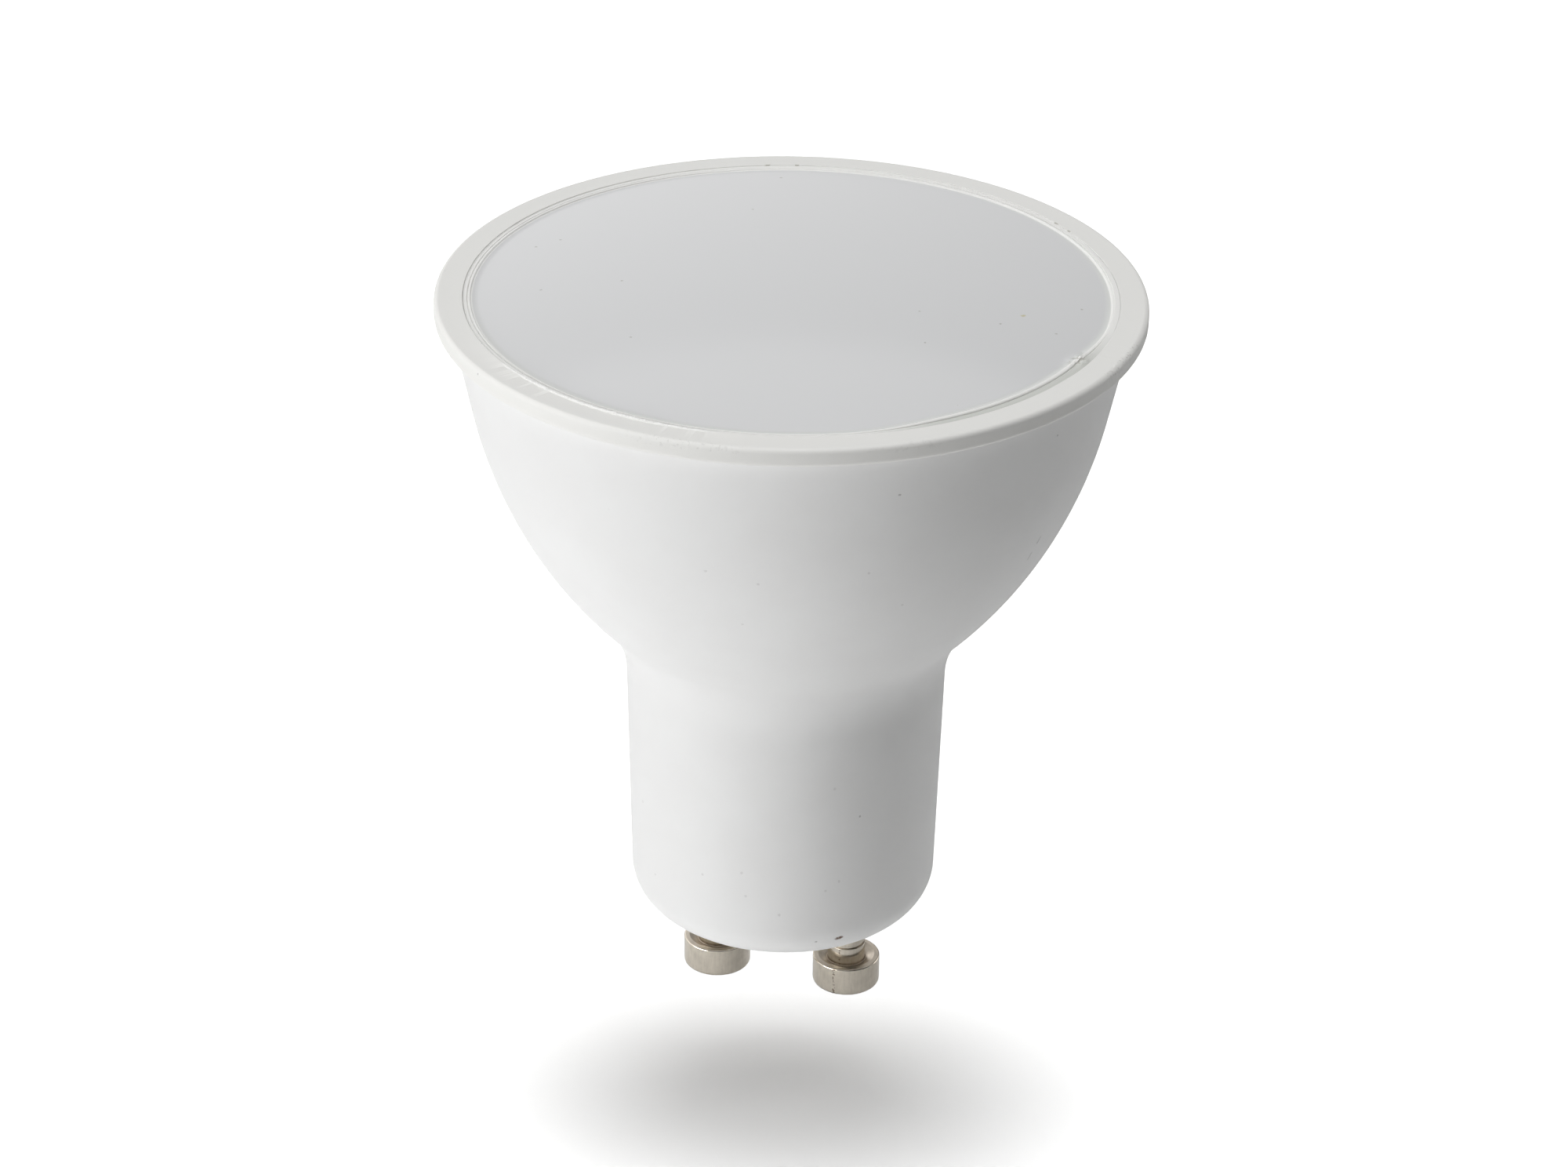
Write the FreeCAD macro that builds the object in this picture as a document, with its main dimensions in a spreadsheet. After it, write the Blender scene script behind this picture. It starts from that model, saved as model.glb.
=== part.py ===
import FreeCAD, Part
import math
import os
import re

import Sketcher

# GU10 spotlight bulb. +Z runs up the lamp's axis to the lens and the contact pins hang below.
# The origin is the centre of the flat base face that meets the lampholder.
# The pins stand on the X axis. Lengths are in millimetres and angles in degrees.

SIZES = {
    # Whole lamp: base face to the face of the front ring, and the rim that fixes its 50 mm size.
    "lamp_height": 48.8,
    "rim_diameter": 50.0,
    # Moulded housing: rounded base end, tapered neck, flare and bowl.
    "housing_wall": 1.3,
    "base_floor": 3.0,
    "base_corner": 3.0,
    "neck_diameter": 22.4,
    "neck_draft": 1.43,
    "neck_flare_radius": 8.1,
    "bowl_radius": 33.8,
    "mouth_depth": 6.45,
    "mouth_draft": 11.8,
    # Shoulder inside the bowl that carries the heat sink.
    "shoulder_width": 1.35,
    "shoulder_depth": 1.8,
    # Front ring, with the spigot that plugs into the bowl.
    "ring_height": 1.35,
    "ring_overhang": 1.1,
    "ring_width": 2.03,
    "ring_top_round": 0.45,
    "ring_foot_round": 0.2,
    "spigot_length": 2.25,
    "spigot_wall": 1.0,
    "spigot_clearance": 0.15,
    # Diffuser disc with its raised bead.
    "diffuser_clearance": 0.1,
    "diffuser_edge": 0.85,
    "bead_width": 0.54,
    "bead_drop": 0.05,
    "bead_round": 0.2,
    "groove_width": 0.4,
    "groove_depth": 0.4,
    "crown_edge_drop": 0.18,
    "crown_rise": 0.7,
    "crown_edge_round": 0.35,
    # Cap pins.
    "pin_pitch": 10.0,
    "pin_length": 7.0,
    "head_diameter": 5.0,
    "head_height": 2.3,
    "head_foot_round": 0.3,
    "head_top_round": 0.18,
    "head_land": 0.4,
    "head_dish": 0.35,
    "shank_diameter": 2.8,
    "shank_groove_drop": 3.35,
    "shank_groove_width": 0.25,
    "shank_groove_depth": 0.12,
    "collar_diameter": 3.6,
    "collar_height": 0.4,
    "stake_diameter": 4.2,
    "stake_height": 0.5,
    "pin_clearance": 0.05,
    "pin_bore": 1.3,
    "pin_bore_depth": 2.6,
    # Heat sink: one pressed aluminium cup.
    "cup_height": 9.5,
    "cup_thickness": 1.2,
    "cup_clearance": 0.15,
    "wire_hole": 8.0,
    # LED board, its packages and its screws.
    "led_board_margin": 2.0,
    "led_board_thickness": 1.2,
    "led_inset": 4.0,
    "led_length": 3.5,
    "led_width": 2.8,
    "led_height": 0.7,
    "led_window": 2.2,
    "led_window_depth": 0.1,
    "screw_spacing": 18.0,
    "screw_diameter": 2.0,
    "tapping_clearance": 0.05,
    "screw_clearance": 0.15,
    "screw_grip": 3.6,
    "screw_head_diameter": 3.8,
    "screw_head_height": 1.3,
    "screw_slot_width": 0.5,
    "screw_slot_depth": 0.6,
    # Driver board, upright behind the axis, and the ribs that hold its edges.
    "board_offset": 3.6,
    "board_thickness": 1.2,
    "board_edge_clearance": 0.22,
    "board_top_gap": 3.3,
    "rib_thickness": 1.0,
    "rib_overlap": 1.0,
    "rib_root": 0.9,
    "rib_height": 6.0,
    "slot_clearance": 0.1,
    # Leads of the parts that stand on the board, and the least gap between two of these parts.
    "lead_diameter": 0.6,
    "lead_tail": 1.0,
    "lead_clearance": 0.1,
    "part_gap": 0.15,
    # Choke: ferrite drum core and its winding.
    "choke_up": 9.5,
    "choke_diameter": 8.0,
    "choke_height": 7.0,
    "choke_flange": 1.0,
    "choke_waist": 3.6,
    "winding_clearance": 0.1,
    "winding_inset": 0.4,
    "choke_lead_pitch": 5.0,
    # Two can capacitors near the top of the board.
    "filter_across": -2.6,
    "filter_drop": 7.5,
    "filter_diameter": 8.0,
    "filter_height": 10.5,
    "filter_lead_pitch": 3.5,
    "output_gap": 0.85,
    "output_drop": 6.45,
    "output_diameter": 6.3,
    "output_height": 9.0,
    "output_lead_pitch": 2.5,
    "can_crimp_height": 1.4,
    "can_crimp_depth": 0.3,
    "can_round": 0.4,
    # Box capacitor and the fusible resistor beside the choke.
    "film_up": 10.0,
    "film_length": 7.2,
    "film_width": 2.8,
    "film_height": 5.5,
    "film_lead_pitch": 5.0,
    "film_round": 0.3,
    "fuse_up": 10.0,
    "fuse_diameter": 2.8,
    "fuse_length": 6.4,
    "fuse_lead_pitch": 9.4,
    "fuse_seat_gap": 0.1,
    # Flat packages on the back of the board.
    "bridge_across": 0.0,
    "bridge_up": 3.3,
    "bridge_length": 4.7,
    "bridge_width": 3.9,
    "bridge_height": 2.5,
    "bridge_leg_pitch": 2.54,
    "bridge_leg_reach": 1.0,
    "chip_across": -2.9,
    "chip_up": 14.0,
    "chip_length": 2.9,
    "chip_width": 1.6,
    "chip_height": 1.1,
    "chip_leg_pitch": 0.95,
    "chip_leg_reach": 0.6,
    "leg_width": 0.42,
    "leg_thickness": 0.25,
    "diode_across": 3.7,
    "diode_up": 14.0,
    "diode_length": 4.3,
    "diode_width": 2.6,
    "diode_height": 2.1,
    "resistor_length": 3.2,
    "resistor_width": 1.6,
    "resistor_height": 0.6,
    "resistor_column": 4.6,
    "sense_up": 8.5,
    "sense_spacing": 2.6,
    "start_across": -3.4,
    "end_cap": 0.5,
    "end_cap_stand": 0.05,
    # Wires.
    "input_wire_diameter": 1.0,
    "input_wire_up": 4.0,
    "input_wire_bend": 1.6,
    "output_wire_diameter": 0.9,
    "output_wire_drop": 1.8,
    "output_wire_half_gap": 1.7,
    "output_wire_bend": 1.5,
    "output_wire_reach": 6.6,
    "wire_tail": 0.8,
    "wire_clearance": 0.1,
    "wire_stand": 0.02,
}

doc = FreeCAD.newDocument("gu10_spotlight")
sheet = doc.addObject("Spreadsheet::Sheet", "Sizes")
for row, (alias, number) in enumerate(SIZES.items(), start=1):
    sheet.set(f"A{row}", alias)
    sheet.set(f"B{row}", str(number))
    sheet.setAlias(f"B{row}", alias)
doc.recompute()
value = {alias: float(sheet.get(alias)) for alias in SIZES}

# Heights and radii that several pieces share, as formulas of the sizes. The bowl's straight
# mouth starts level with the heat sink's plate.
SEAT = "(lamp_height - ring_height)"
MOUTH_EDGE = "(rim_diameter / 2 - ring_overhang)"
MOUTH_INSIDE = f"({MOUTH_EDGE} - housing_wall / cos(mouth_draft))"
PLATE_UP = f"({SEAT} - mouth_depth)"
SHOULDER_UP = f"({PLATE_UP} - cup_height)"
BOWL_CENTRE_ACROSS = f"({MOUTH_EDGE} - mouth_depth * tan(mouth_draft) - bowl_radius * cos(mouth_draft))"
BOWL_CENTRE_UP = f"({PLATE_UP} + bowl_radius * sin(mouth_draft))"
CUP_RADIUS = "(bowl_radius - housing_wall - cup_clearance)"
PLATE_EDGE = f"({BOWL_CENTRE_ACROSS} + sqrt({CUP_RADIUS}^2 - ({BOWL_CENTRE_UP} - {PLATE_UP})^2))"
RING_OPENING = "(rim_diameter / 2 - ring_width)"
DIFFUSER_EDGE = f"({RING_OPENING} - diffuser_clearance)"
DIFFUSER_SEAT = "(lamp_height - bead_drop - diffuser_edge)"
LED_BOARD_EDGE = f"({PLATE_EDGE} - led_board_margin)"
LED_BOARD_TOP = f"({PLATE_UP} + led_board_thickness)"
BOARD_FRONT = "(board_thickness - board_offset)"
BOARD_HALF_WIDTH = "(sqrt((neck_diameter / 2 - housing_wall)^2 - board_offset^2) - board_edge_clearance)"
BOARD_TOP = f"({PLATE_UP} - cup_thickness - board_top_gap)"
FUSE_ACROSS = "(choke_diameter / 2 + part_gap + fuse_diameter / 2)"

nodes = []


def formula(text):
    """Point every size named in a formula at its cell."""
    return re.sub(r"[a-z][a-z_]*", lambda word: cell(word[0]), text)


def cell(word):
    return f"Sizes.{word}" if word in SIZES else word


def node(thing, label):
    thing.Label = label
    nodes.append(thing)
    return thing


def move(thing, across="0", along="0", up="0"):
    """Place a piece by three formulas."""
    for axis, text in zip("xyz", (across, along, up)):
        if text != "0":
            thing.setExpression(f"Placement.Base.{axis}", formula(text))


def body_named(label):
    return node(doc.addObject("PartDesign::Body", label), label)


def sketch_on(body, name, role, offset="0"):
    sketch = body.newObject("Sketcher::SketchObject", name)
    plane = next(item for item in body.Origin.OriginFeatures if item.Role == role)
    sketch.AttachmentSupport = [(plane, "")]
    sketch.MapMode = "FlatFace"
    if offset != "0":
        sketch.setExpression("AttachmentOffset.Base.z", formula(offset))
    return sketch


def bind(sketch, constraint, text=None):
    """Add one constraint, driven by a formula where one is given."""
    index = sketch.addConstraint(constraint)
    if text:
        sketch.setExpression(f"Constraints[{index}]", formula(text))


def pin_down(sketch, curve, end, across, up):
    """Fix a curve's end by two formulas; None leaves that direction free."""
    spot = sketch.getPoint(curve, end)
    for kind, text, axis, distance in (("DistanceX", across, -2, spot.x), ("DistanceY", up, -1, spot.y)):
        if text == "0":
            bind(sketch, Sketcher.Constraint("PointOnObject", curve, end, axis))
        elif text:
            bind(sketch, Sketcher.Constraint(kind, -1, 1, curve, end, distance), text)


def polygon(sketch, corners):
    """Closed outline with straight sides; each corner is a pair of formulas."""
    first = sketch.GeometryCount
    count = len(corners)
    turn = 2 * math.pi / count
    start = [point(30 + 5 * math.cos(turn * i), 30 + 5 * math.sin(turn * i)) for i in range(count)]
    for i in range(count):
        sketch.addGeometry(Part.LineSegment(start[i], start[(i + 1) % count]), False)
    for i in range(count):
        bind(sketch, Sketcher.Constraint("Coincident", first + i, 2, first + (i + 1) % count, 1))
    for i, (across, up) in enumerate(corners):
        pin_down(sketch, first + i, 1, across, up)


def circle(sketch, across, up, diameter):
    """A full circle placed and sized by formulas."""
    start = FreeCAD.Vector(1, 1, 0)
    curve = sketch.addGeometry(Part.Circle(start, FreeCAD.Vector(0, 0, 1), 1.0), False)
    pin_down(sketch, curve, 3, across, up)
    bind(sketch, Sketcher.Constraint("Diameter", curve, 2.0), diameter)


def outline(sketch, steps):
    """Closed outline of lines and arcs.

    Each step is (start point, arc centre or None, smooth), where smooth makes its start tangent
    to the step before it. Returns (curve, start end, finish end) for each step.
    """
    curves = []
    for (start, centre, _), (finish, _, _) in zip(steps, steps[1:] + steps[:1]):
        if centre is None:
            curve = sketch.addGeometry(Part.LineSegment(start, finish), False)
            curves.append((curve, 1, 2))
            continue
        ring = Part.Circle(centre, FreeCAD.Vector(0, 0, 1), (start - centre).Length)
        from_angle = math.atan2(start.y - centre.y, start.x - centre.x)
        to_angle = math.atan2(finish.y - centre.y, finish.x - centre.x)
        if (to_angle - from_angle) % (2 * math.pi) < math.pi:
            curve = sketch.addGeometry(Part.ArcOfCircle(ring, from_angle, to_angle), False)
            curves.append((curve, 1, 2))
        else:
            curve = sketch.addGeometry(Part.ArcOfCircle(ring, to_angle, from_angle), False)
            curves.append((curve, 2, 1))
    for i, (_, _, smooth) in enumerate(steps):
        before, _, end = curves[i - 1]
        after, start, _ = curves[i]
        kind = "Tangent" if smooth else "Coincident"
        bind(sketch, Sketcher.Constraint(kind, before, end, after, start))
    return curves


def feature(body, kind, name, sketch):
    made = body.newObject(kind, name)
    made.Profile = (sketch, [""])
    return made


def revolve(body, sketch, name):
    made = feature(body, "PartDesign::Revolution", name, sketch)
    made.ReferenceAxis = (sketch, ["V_Axis"])
    made.Angle = 360
    return made


def pad(body, sketch, name, length, backwards=False):
    made = feature(body, "PartDesign::Pad", name, sketch)
    made.setExpression("Length", formula(length))
    made.Reversed = backwards
    return made


def pocket(body, sketch, name, length, backwards=False):
    made = feature(body, "PartDesign::Pocket", name, sketch)
    made.setExpression("Length", formula(length))
    made.Reversed = backwards
    return made


def turned(label, corners):
    """A solid of revolution about its own Z axis."""
    body = body_named(label)
    sketch = sketch_on(body, f"{label}_section", "XZ_Plane")
    polygon(sketch, corners)
    revolve(body, sketch, f"{label}_turned")
    return body


def round_edges(body, name, rims, size):
    """Round the circular edges that have the given radii and heights."""
    doc.recompute()
    base = body.Tip
    picked = []
    for number, edge in enumerate(base.Shape.Edges, start=1):
        if edge.Degenerated or not isinstance(edge.Curve, Part.Circle):
            continue
        for radius, height in rims:
            if abs(edge.Curve.Radius - radius) < 0.01 and abs(edge.Curve.Center.z - height) < 0.01:
                picked.append(f"Edge{number}")
    if len(picked) != len(rims):
        raise ValueError(f"{name}: {len(picked)} edges found, {len(rims)} wanted")
    made = body.newObject("PartDesign::Fillet", name)
    made.Base = (base, picked)
    made.setExpression("Radius", formula(size))
    return made


def box(name, size, place):
    made = doc.addObject("Part::Box", name)
    for side, text in zip(("Length", "Width", "Height"), size):
        made.setExpression(side, formula(text))
    move(made, *place)
    return made


def fused(label, shapes):
    made = doc.addObject("Part::MultiFuse", label)
    made.Shapes = shapes
    return node(made, label)


def point(across, up):
    return FreeCAD.Vector(across, up, 0)


def on_ray(centre, target, distance):
    """The point at a distance from a centre, towards a target."""
    direction = (target - centre).normalize()
    return centre + direction * distance


# Numbers of the bowl's section, used as the starting geometry of its sketches.
draft = math.radians(value["mouth_draft"])
taper = math.radians(value["neck_draft"])
seat_up = value["lamp_height"] - value["ring_height"]
plate_up = seat_up - value["mouth_depth"]
shoulder_up = plate_up - value["cup_height"]
mouth_edge = point(value["rim_diameter"] / 2 - value["ring_overhang"], seat_up)
break_point = mouth_edge + point(-math.tan(draft), -1) * value["mouth_depth"]
bowl_centre = break_point - point(math.cos(draft), -math.sin(draft)) * value["bowl_radius"]
neck_foot = point(value["neck_diameter"] / 2, value["base_corner"] * (1 + math.sin(taper)))
neck_out = point(math.cos(taper), -math.sin(taper))
neck_up = point(math.sin(taper), math.cos(taper))
flare_reach = value["bowl_radius"] + value["neck_flare_radius"]
flare_start = neck_foot + neck_out * value["neck_flare_radius"]
to_bowl = flare_start - bowl_centre
along_neck = to_bowl.dot(neck_up)
climb = -along_neck - math.sqrt(along_neck ** 2 - to_bowl.dot(to_bowl) + flare_reach ** 2)
flare_centre = flare_start + neck_up * climb


# The housing is one moulding: base face, rounded corner, drafted neck, flare and bowl outside,
# and the same line one wall inside, with a shoulder for the heat sink.
def make_housing():
    wall = value["housing_wall"]
    corner_centre = neck_foot - neck_out * value["base_corner"]
    inner_bowl = value["bowl_radius"] - wall
    flare_inner = value["neck_flare_radius"] + wall
    shoulder_drop = bowl_centre.y - shoulder_up
    shoulder_edge = point(bowl_centre.x + math.sqrt(inner_bowl ** 2 - shoulder_drop ** 2), shoulder_up)
    foot_drop = shoulder_drop + value["shoulder_depth"]
    shoulder_foot = point(
        bowl_centre.x + math.sqrt(inner_bowl ** 2 - foot_drop ** 2),
        shoulder_up - value["shoulder_depth"],
    )
    flare_on_neck = flare_centre - neck_out * value["neck_flare_radius"]
    inner_neck_top = flare_centre - neck_out * flare_inner
    inner_neck_foot = inner_neck_top - neck_up * ((inner_neck_top.y - value["base_floor"]) / neck_up.y)
    steps = [
        (point(0, 0), None, False),
        (point(corner_centre.x, 0), corner_centre, True),
        (neck_foot, None, True),
        (flare_on_neck, flare_centre, True),
        (on_ray(bowl_centre, flare_centre, value["bowl_radius"]), bowl_centre, True),
        (break_point, None, True),
        (mouth_edge, None, False),
        (mouth_edge - point(wall / math.cos(draft), 0), None, False),
        (on_ray(bowl_centre, break_point, inner_bowl), bowl_centre, True),
        (shoulder_edge, None, False),
        (shoulder_edge - point(value["shoulder_width"], 0), None, False),
        (shoulder_foot, bowl_centre, False),
        (on_ray(bowl_centre, flare_centre, inner_bowl), flare_centre, True),
        (inner_neck_top, None, True),
        (inner_neck_foot, None, False),
        (point(0, value["base_floor"]), None, False),
    ]
    body = body_named("housing")
    sketch = sketch_on(body, "housing_section", "XZ_Plane")
    curves = outline(sketch, steps)
    base, corner, neck, flare, bowl, mouth, seat, inner_mouth = (item[0] for item in curves[:8])
    upper, shoulder, slant, lower, inner_flare, inner_neck, floor, axis = (item[0] for item in curves[8:])
    for level in (base, seat, shoulder, floor):
        bind(sketch, Sketcher.Constraint("Horizontal", level))
    for arc, size in (
        (corner, "base_corner"),
        (flare, "neck_flare_radius"),
        (bowl, "bowl_radius"),
        (upper, "bowl_radius - housing_wall"),
        (lower, "bowl_radius - housing_wall"),
    ):
        bind(sketch, Sketcher.Constraint("Radius", arc, sketch.Geometry[arc].Radius), size)
    bind(sketch, Sketcher.Constraint("Coincident", upper, 3, bowl, 3))
    bind(sketch, Sketcher.Constraint("Coincident", lower, 3, bowl, 3))
    bind(sketch, Sketcher.Constraint("Coincident", inner_flare, 3, flare, 3))
    bind(sketch, Sketcher.Constraint("Angle", neck, math.pi / 2 - taper), "90 - neck_draft")
    bind(sketch, Sketcher.Constraint("Angle", mouth, math.pi / 2 - draft), "90 - mouth_draft")
    bind(sketch, Sketcher.Constraint("Parallel", mouth, inner_mouth))
    bind(sketch, Sketcher.Constraint("Parallel", neck, inner_neck))
    pin_down(sketch, base, 1, "0", "0")
    pin_down(sketch, neck, 1, "neck_diameter / 2", None)
    pin_down(sketch, mouth, 1, None, PLATE_UP)
    pin_down(sketch, mouth, 2, MOUTH_EDGE, SEAT)
    pin_down(sketch, shoulder, 1, None, SHOULDER_UP)
    step = Sketcher.Constraint("DistanceX", shoulder, 2, shoulder, 1, value["shoulder_width"])
    bind(sketch, step, "shoulder_width")
    pin_down(sketch, slant, 2, None, f"{SHOULDER_UP} - shoulder_depth")
    pin_down(sketch, floor, 2, "0", "base_floor")
    revolve(body, sketch, "housing_shell")

    ribs = sketch_on(body, "board_rib_plan", "XY_Plane", "base_floor")
    back = "(board_offset + slot_clearance)"
    front = f"(-({BOARD_FRONT}) - slot_clearance)"
    for near, far in ((back, f"({back} + rib_thickness)"), (front, f"({front} - rib_thickness)")):
        root = f"sqrt((neck_diameter / 2 - housing_wall + rib_root)^2 - ({back} + rib_thickness)^2)"
        inner = f"({BOARD_HALF_WIDTH} - rib_overlap)"
        for side in ("", "-"):
            polygon(ribs, [
                (f"{side}{inner}", f"-{near}"),
                (f"{side}{root}", f"-{near}"),
                (f"{side}{root}", f"-{far}"),
                (f"{side}{inner}", f"-{far}"),
            ])
    pad(body, ribs, "board_ribs", "rib_height")

    holes = sketch_on(body, "pin_hole_plan", "XY_Plane")
    for side in ("", "-"):
        circle(holes, f"{side}pin_pitch / 2", "0", "shank_diameter + 2 * pin_clearance")
    pocket(body, holes, "pin_holes", "base_floor", backwards=True)
    return body


# The ring seats on the bowl's mouth. Its tapered spigot plugs the bowl and its opening holds
# the diffuser's edge.
def make_front_ring():
    spigot_top = f"({MOUTH_INSIDE} - spigot_clearance)"
    spigot_foot = f"({spigot_top} - spigot_length * tan(mouth_draft))"
    inside = f"({spigot_foot} - spigot_wall)"
    body = turned("front_ring", [
        (spigot_top, SEAT),
        ("rim_diameter / 2", SEAT),
        ("rim_diameter / 2", "lamp_height"),
        (RING_OPENING, "lamp_height"),
        (RING_OPENING, DIFFUSER_SEAT),
        (inside, DIFFUSER_SEAT),
        (inside, f"{SEAT} - spigot_length"),
        (spigot_foot, f"{SEAT} - spigot_length"),
    ])
    rim = value["rim_diameter"] / 2
    round_edges(body, "ring_top_edge", [(rim, value["lamp_height"])], "ring_top_round")
    round_edges(body, "ring_foot_edge", [(rim, seat_up)], "ring_foot_round")
    return body


# The diffuser is a milky disc, flat below and slightly crowned above, with a round bead
# outside a narrow groove.
def make_diffuser():
    seat = value["lamp_height"] - value["bead_drop"] - value["diffuser_edge"]
    bead_top = value["lamp_height"] - value["bead_drop"]
    outer = value["rim_diameter"] / 2 - value["ring_width"] - value["diffuser_clearance"]
    bead_inner = outer - value["bead_width"]
    crown_edge = bead_inner - value["groove_width"]
    edge_up = value["lamp_height"] - value["crown_edge_drop"]
    crown_up = edge_up + value["crown_rise"]
    crown_radius = (crown_edge ** 2 + value["crown_rise"] ** 2) / (2 * value["crown_rise"])
    body = body_named("diffuser")
    sketch = sketch_on(body, "diffuser_section", "XZ_Plane")
    curves = outline(sketch, [
        (point(0, seat), None, False),
        (point(outer, seat), None, False),
        (point(outer, bead_top), None, False),
        (point(bead_inner, bead_top), None, False),
        (point(bead_inner, bead_top - value["groove_depth"]), None, False),
        (point(crown_edge, edge_up), point(0, crown_up - crown_radius), False),
        (point(0, crown_up), None, False),
    ])
    bead = f"({DIFFUSER_EDGE} - bead_width)"
    top = "(lamp_height - bead_drop)"
    places = [
        ("0", DIFFUSER_SEAT),
        (DIFFUSER_EDGE, DIFFUSER_SEAT),
        (DIFFUSER_EDGE, top),
        (bead, top),
        (bead, f"{top} - groove_depth"),
        (f"{bead} - groove_width", "lamp_height - crown_edge_drop"),
        ("0", "lamp_height - crown_edge_drop + crown_rise"),
    ]
    for (curve, start, _), (across, up) in zip(curves, places):
        pin_down(sketch, curve, start, across, up)
    bind(sketch, Sketcher.Constraint("PointOnObject", curves[5][0], 3, -2))
    revolve(body, sketch, "diffuser_disc")
    round_edges(body, "bead_edges", [(outer, bead_top), (bead_inner, bead_top)], "bead_round")
    round_edges(body, "crown_edge", [(crown_edge, edge_up)], "crown_edge_round")
    return body


# A cap pin is one turned and plated piece: flat head, shank, collar on the base face, and a
# stem through the floor whose bored end is staked over inside.
def make_pin(label, side):
    head_top = "(head_height - pin_length)"
    shank = "shank_diameter / 2"
    groove = "(shank_diameter / 2 - shank_groove_depth)"
    stake_top = "(base_floor + stake_height)"
    body = turned(label, [
        ("0", "-pin_length"),
        ("head_diameter / 2", "-pin_length"),
        ("head_diameter / 2", head_top),
        ("head_diameter / 2 - head_land", head_top),
        (shank, f"{head_top} - head_dish"),
        (shank, "-shank_groove_drop - shank_groove_width"),
        (groove, "-shank_groove_drop - shank_groove_width"),
        (groove, "-shank_groove_drop"),
        (shank, "-shank_groove_drop"),
        (shank, "-collar_height"),
        ("collar_diameter / 2", "-collar_height"),
        ("collar_diameter / 2", "0"),
        (shank, "0"),
        (shank, "base_floor"),
        ("stake_diameter / 2", "base_floor"),
        ("stake_diameter / 2", stake_top),
        ("pin_bore / 2", stake_top),
        ("pin_bore / 2", f"{stake_top} - pin_bore_depth"),
        ("0", f"{stake_top} - pin_bore_depth"),
    ])
    head = value["head_diameter"] / 2
    foot_up = -value["pin_length"]
    round_edges(body, f"{label}_foot_edge", [(head, foot_up)], "head_foot_round")
    round_edges(body, f"{label}_top_edge", [(head, foot_up + value["head_height"])], "head_top_round")
    move(body, across=f"{side}pin_pitch / 2")
    return body


# The heat sink follows the bowl one clearance inside it, stands on the shoulder and closes the
# bowl with a flat plate for the LED board.
def make_heat_sink():
    outer = value["bowl_radius"] - value["housing_wall"] - value["cup_clearance"]
    inner = outer - value["cup_thickness"]
    top = plate_up
    under = top - value["cup_thickness"]
    foot = shoulder_up
    hole = value["wire_hole"] / 2

    def across_at(radius, height):
        return bowl_centre.x + math.sqrt(radius ** 2 - (bowl_centre.y - height) ** 2)

    body = body_named("heat_sink")
    sketch = sketch_on(body, "heat_sink_section", "XZ_Plane")
    curves = outline(sketch, [
        (point(hole, under), None, False),
        (point(hole, top), None, False),
        (point(across_at(outer, top), top), bowl_centre, False),
        (point(across_at(outer, foot), foot), None, False),
        (point(across_at(inner, foot), foot), bowl_centre, False),
        (point(across_at(inner, under), under), None, False),
    ])
    bore, plate, outside, rim, inside, ceiling = (item[0] for item in curves)
    bind(sketch, Sketcher.Constraint("Vertical", bore))
    for level in (plate, rim, ceiling):
        bind(sketch, Sketcher.Constraint("Horizontal", level))
    bind(sketch, Sketcher.Constraint("Radius", outside, outer), CUP_RADIUS)
    bind(sketch, Sketcher.Constraint("Radius", inside, inner), f"{CUP_RADIUS} - cup_thickness")
    pin_down(sketch, outside, 3, BOWL_CENTRE_ACROSS, BOWL_CENTRE_UP)
    bind(sketch, Sketcher.Constraint("Coincident", inside, 3, outside, 3))
    pin_down(sketch, bore, 1, "wire_hole / 2", f"{PLATE_UP} - cup_thickness")
    pin_down(sketch, plate, 1, None, PLATE_UP)
    pin_down(sketch, rim, 1, None, SHOULDER_UP)
    revolve(body, sketch, "heat_sink_cup")
    holes = sketch_on(body, "tapped_hole_plan", "XY_Plane", PLATE_UP)
    for side in ("", "-"):
        circle(holes, "0", f"{side}screw_spacing / 2", "screw_diameter + 2 * tapping_clearance")
    pocket(body, holes, "tapped_holes", "cup_thickness")
    return body


def make_led_board():
    body = body_named("led_board")
    plan = sketch_on(body, "led_board_plan", "XY_Plane", PLATE_UP)
    circle(plan, "0", "0", f"2 * {LED_BOARD_EDGE}")
    circle(plan, "0", "0", "wire_hole")
    for side in ("", "-"):
        circle(plan, "0", f"{side}screw_spacing / 2", "screw_diameter + 2 * screw_clearance")
    pad(body, plan, "led_board_plate", "led_board_thickness")
    return body


# Eight LED packages stand evenly on one circle, each a white block with a sunk window.
def make_leds(count=8):
    reach = f"({LED_BOARD_EDGE} - led_inset)"
    for number in range(count):
        angle = 360 * (number + 0.5) / count
        body = body_named(f"led_{number + 1}")
        plan = sketch_on(body, f"led_{number + 1}_plan", "XY_Plane")
        half_length = "led_length / 2"
        half_width = "led_width / 2"
        polygon(plan, [
            (f"-{half_length}", f"-{half_width}"),
            (half_length, f"-{half_width}"),
            (half_length, half_width),
            (f"-{half_length}", half_width),
        ])
        pad(body, plan, f"led_{number + 1}_block", "led_height")
        window = sketch_on(body, f"led_{number + 1}_window_plan", "XY_Plane", "led_height")
        circle(window, "0", "0", "led_window")
        pocket(body, window, f"led_{number + 1}_window", "led_window_depth")
        body.Placement.Rotation = FreeCAD.Rotation(FreeCAD.Vector(0, 0, 1), angle + 90)
        move(body, f"{reach} * cos({angle})", f"{reach} * sin({angle})", LED_BOARD_TOP)


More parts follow.
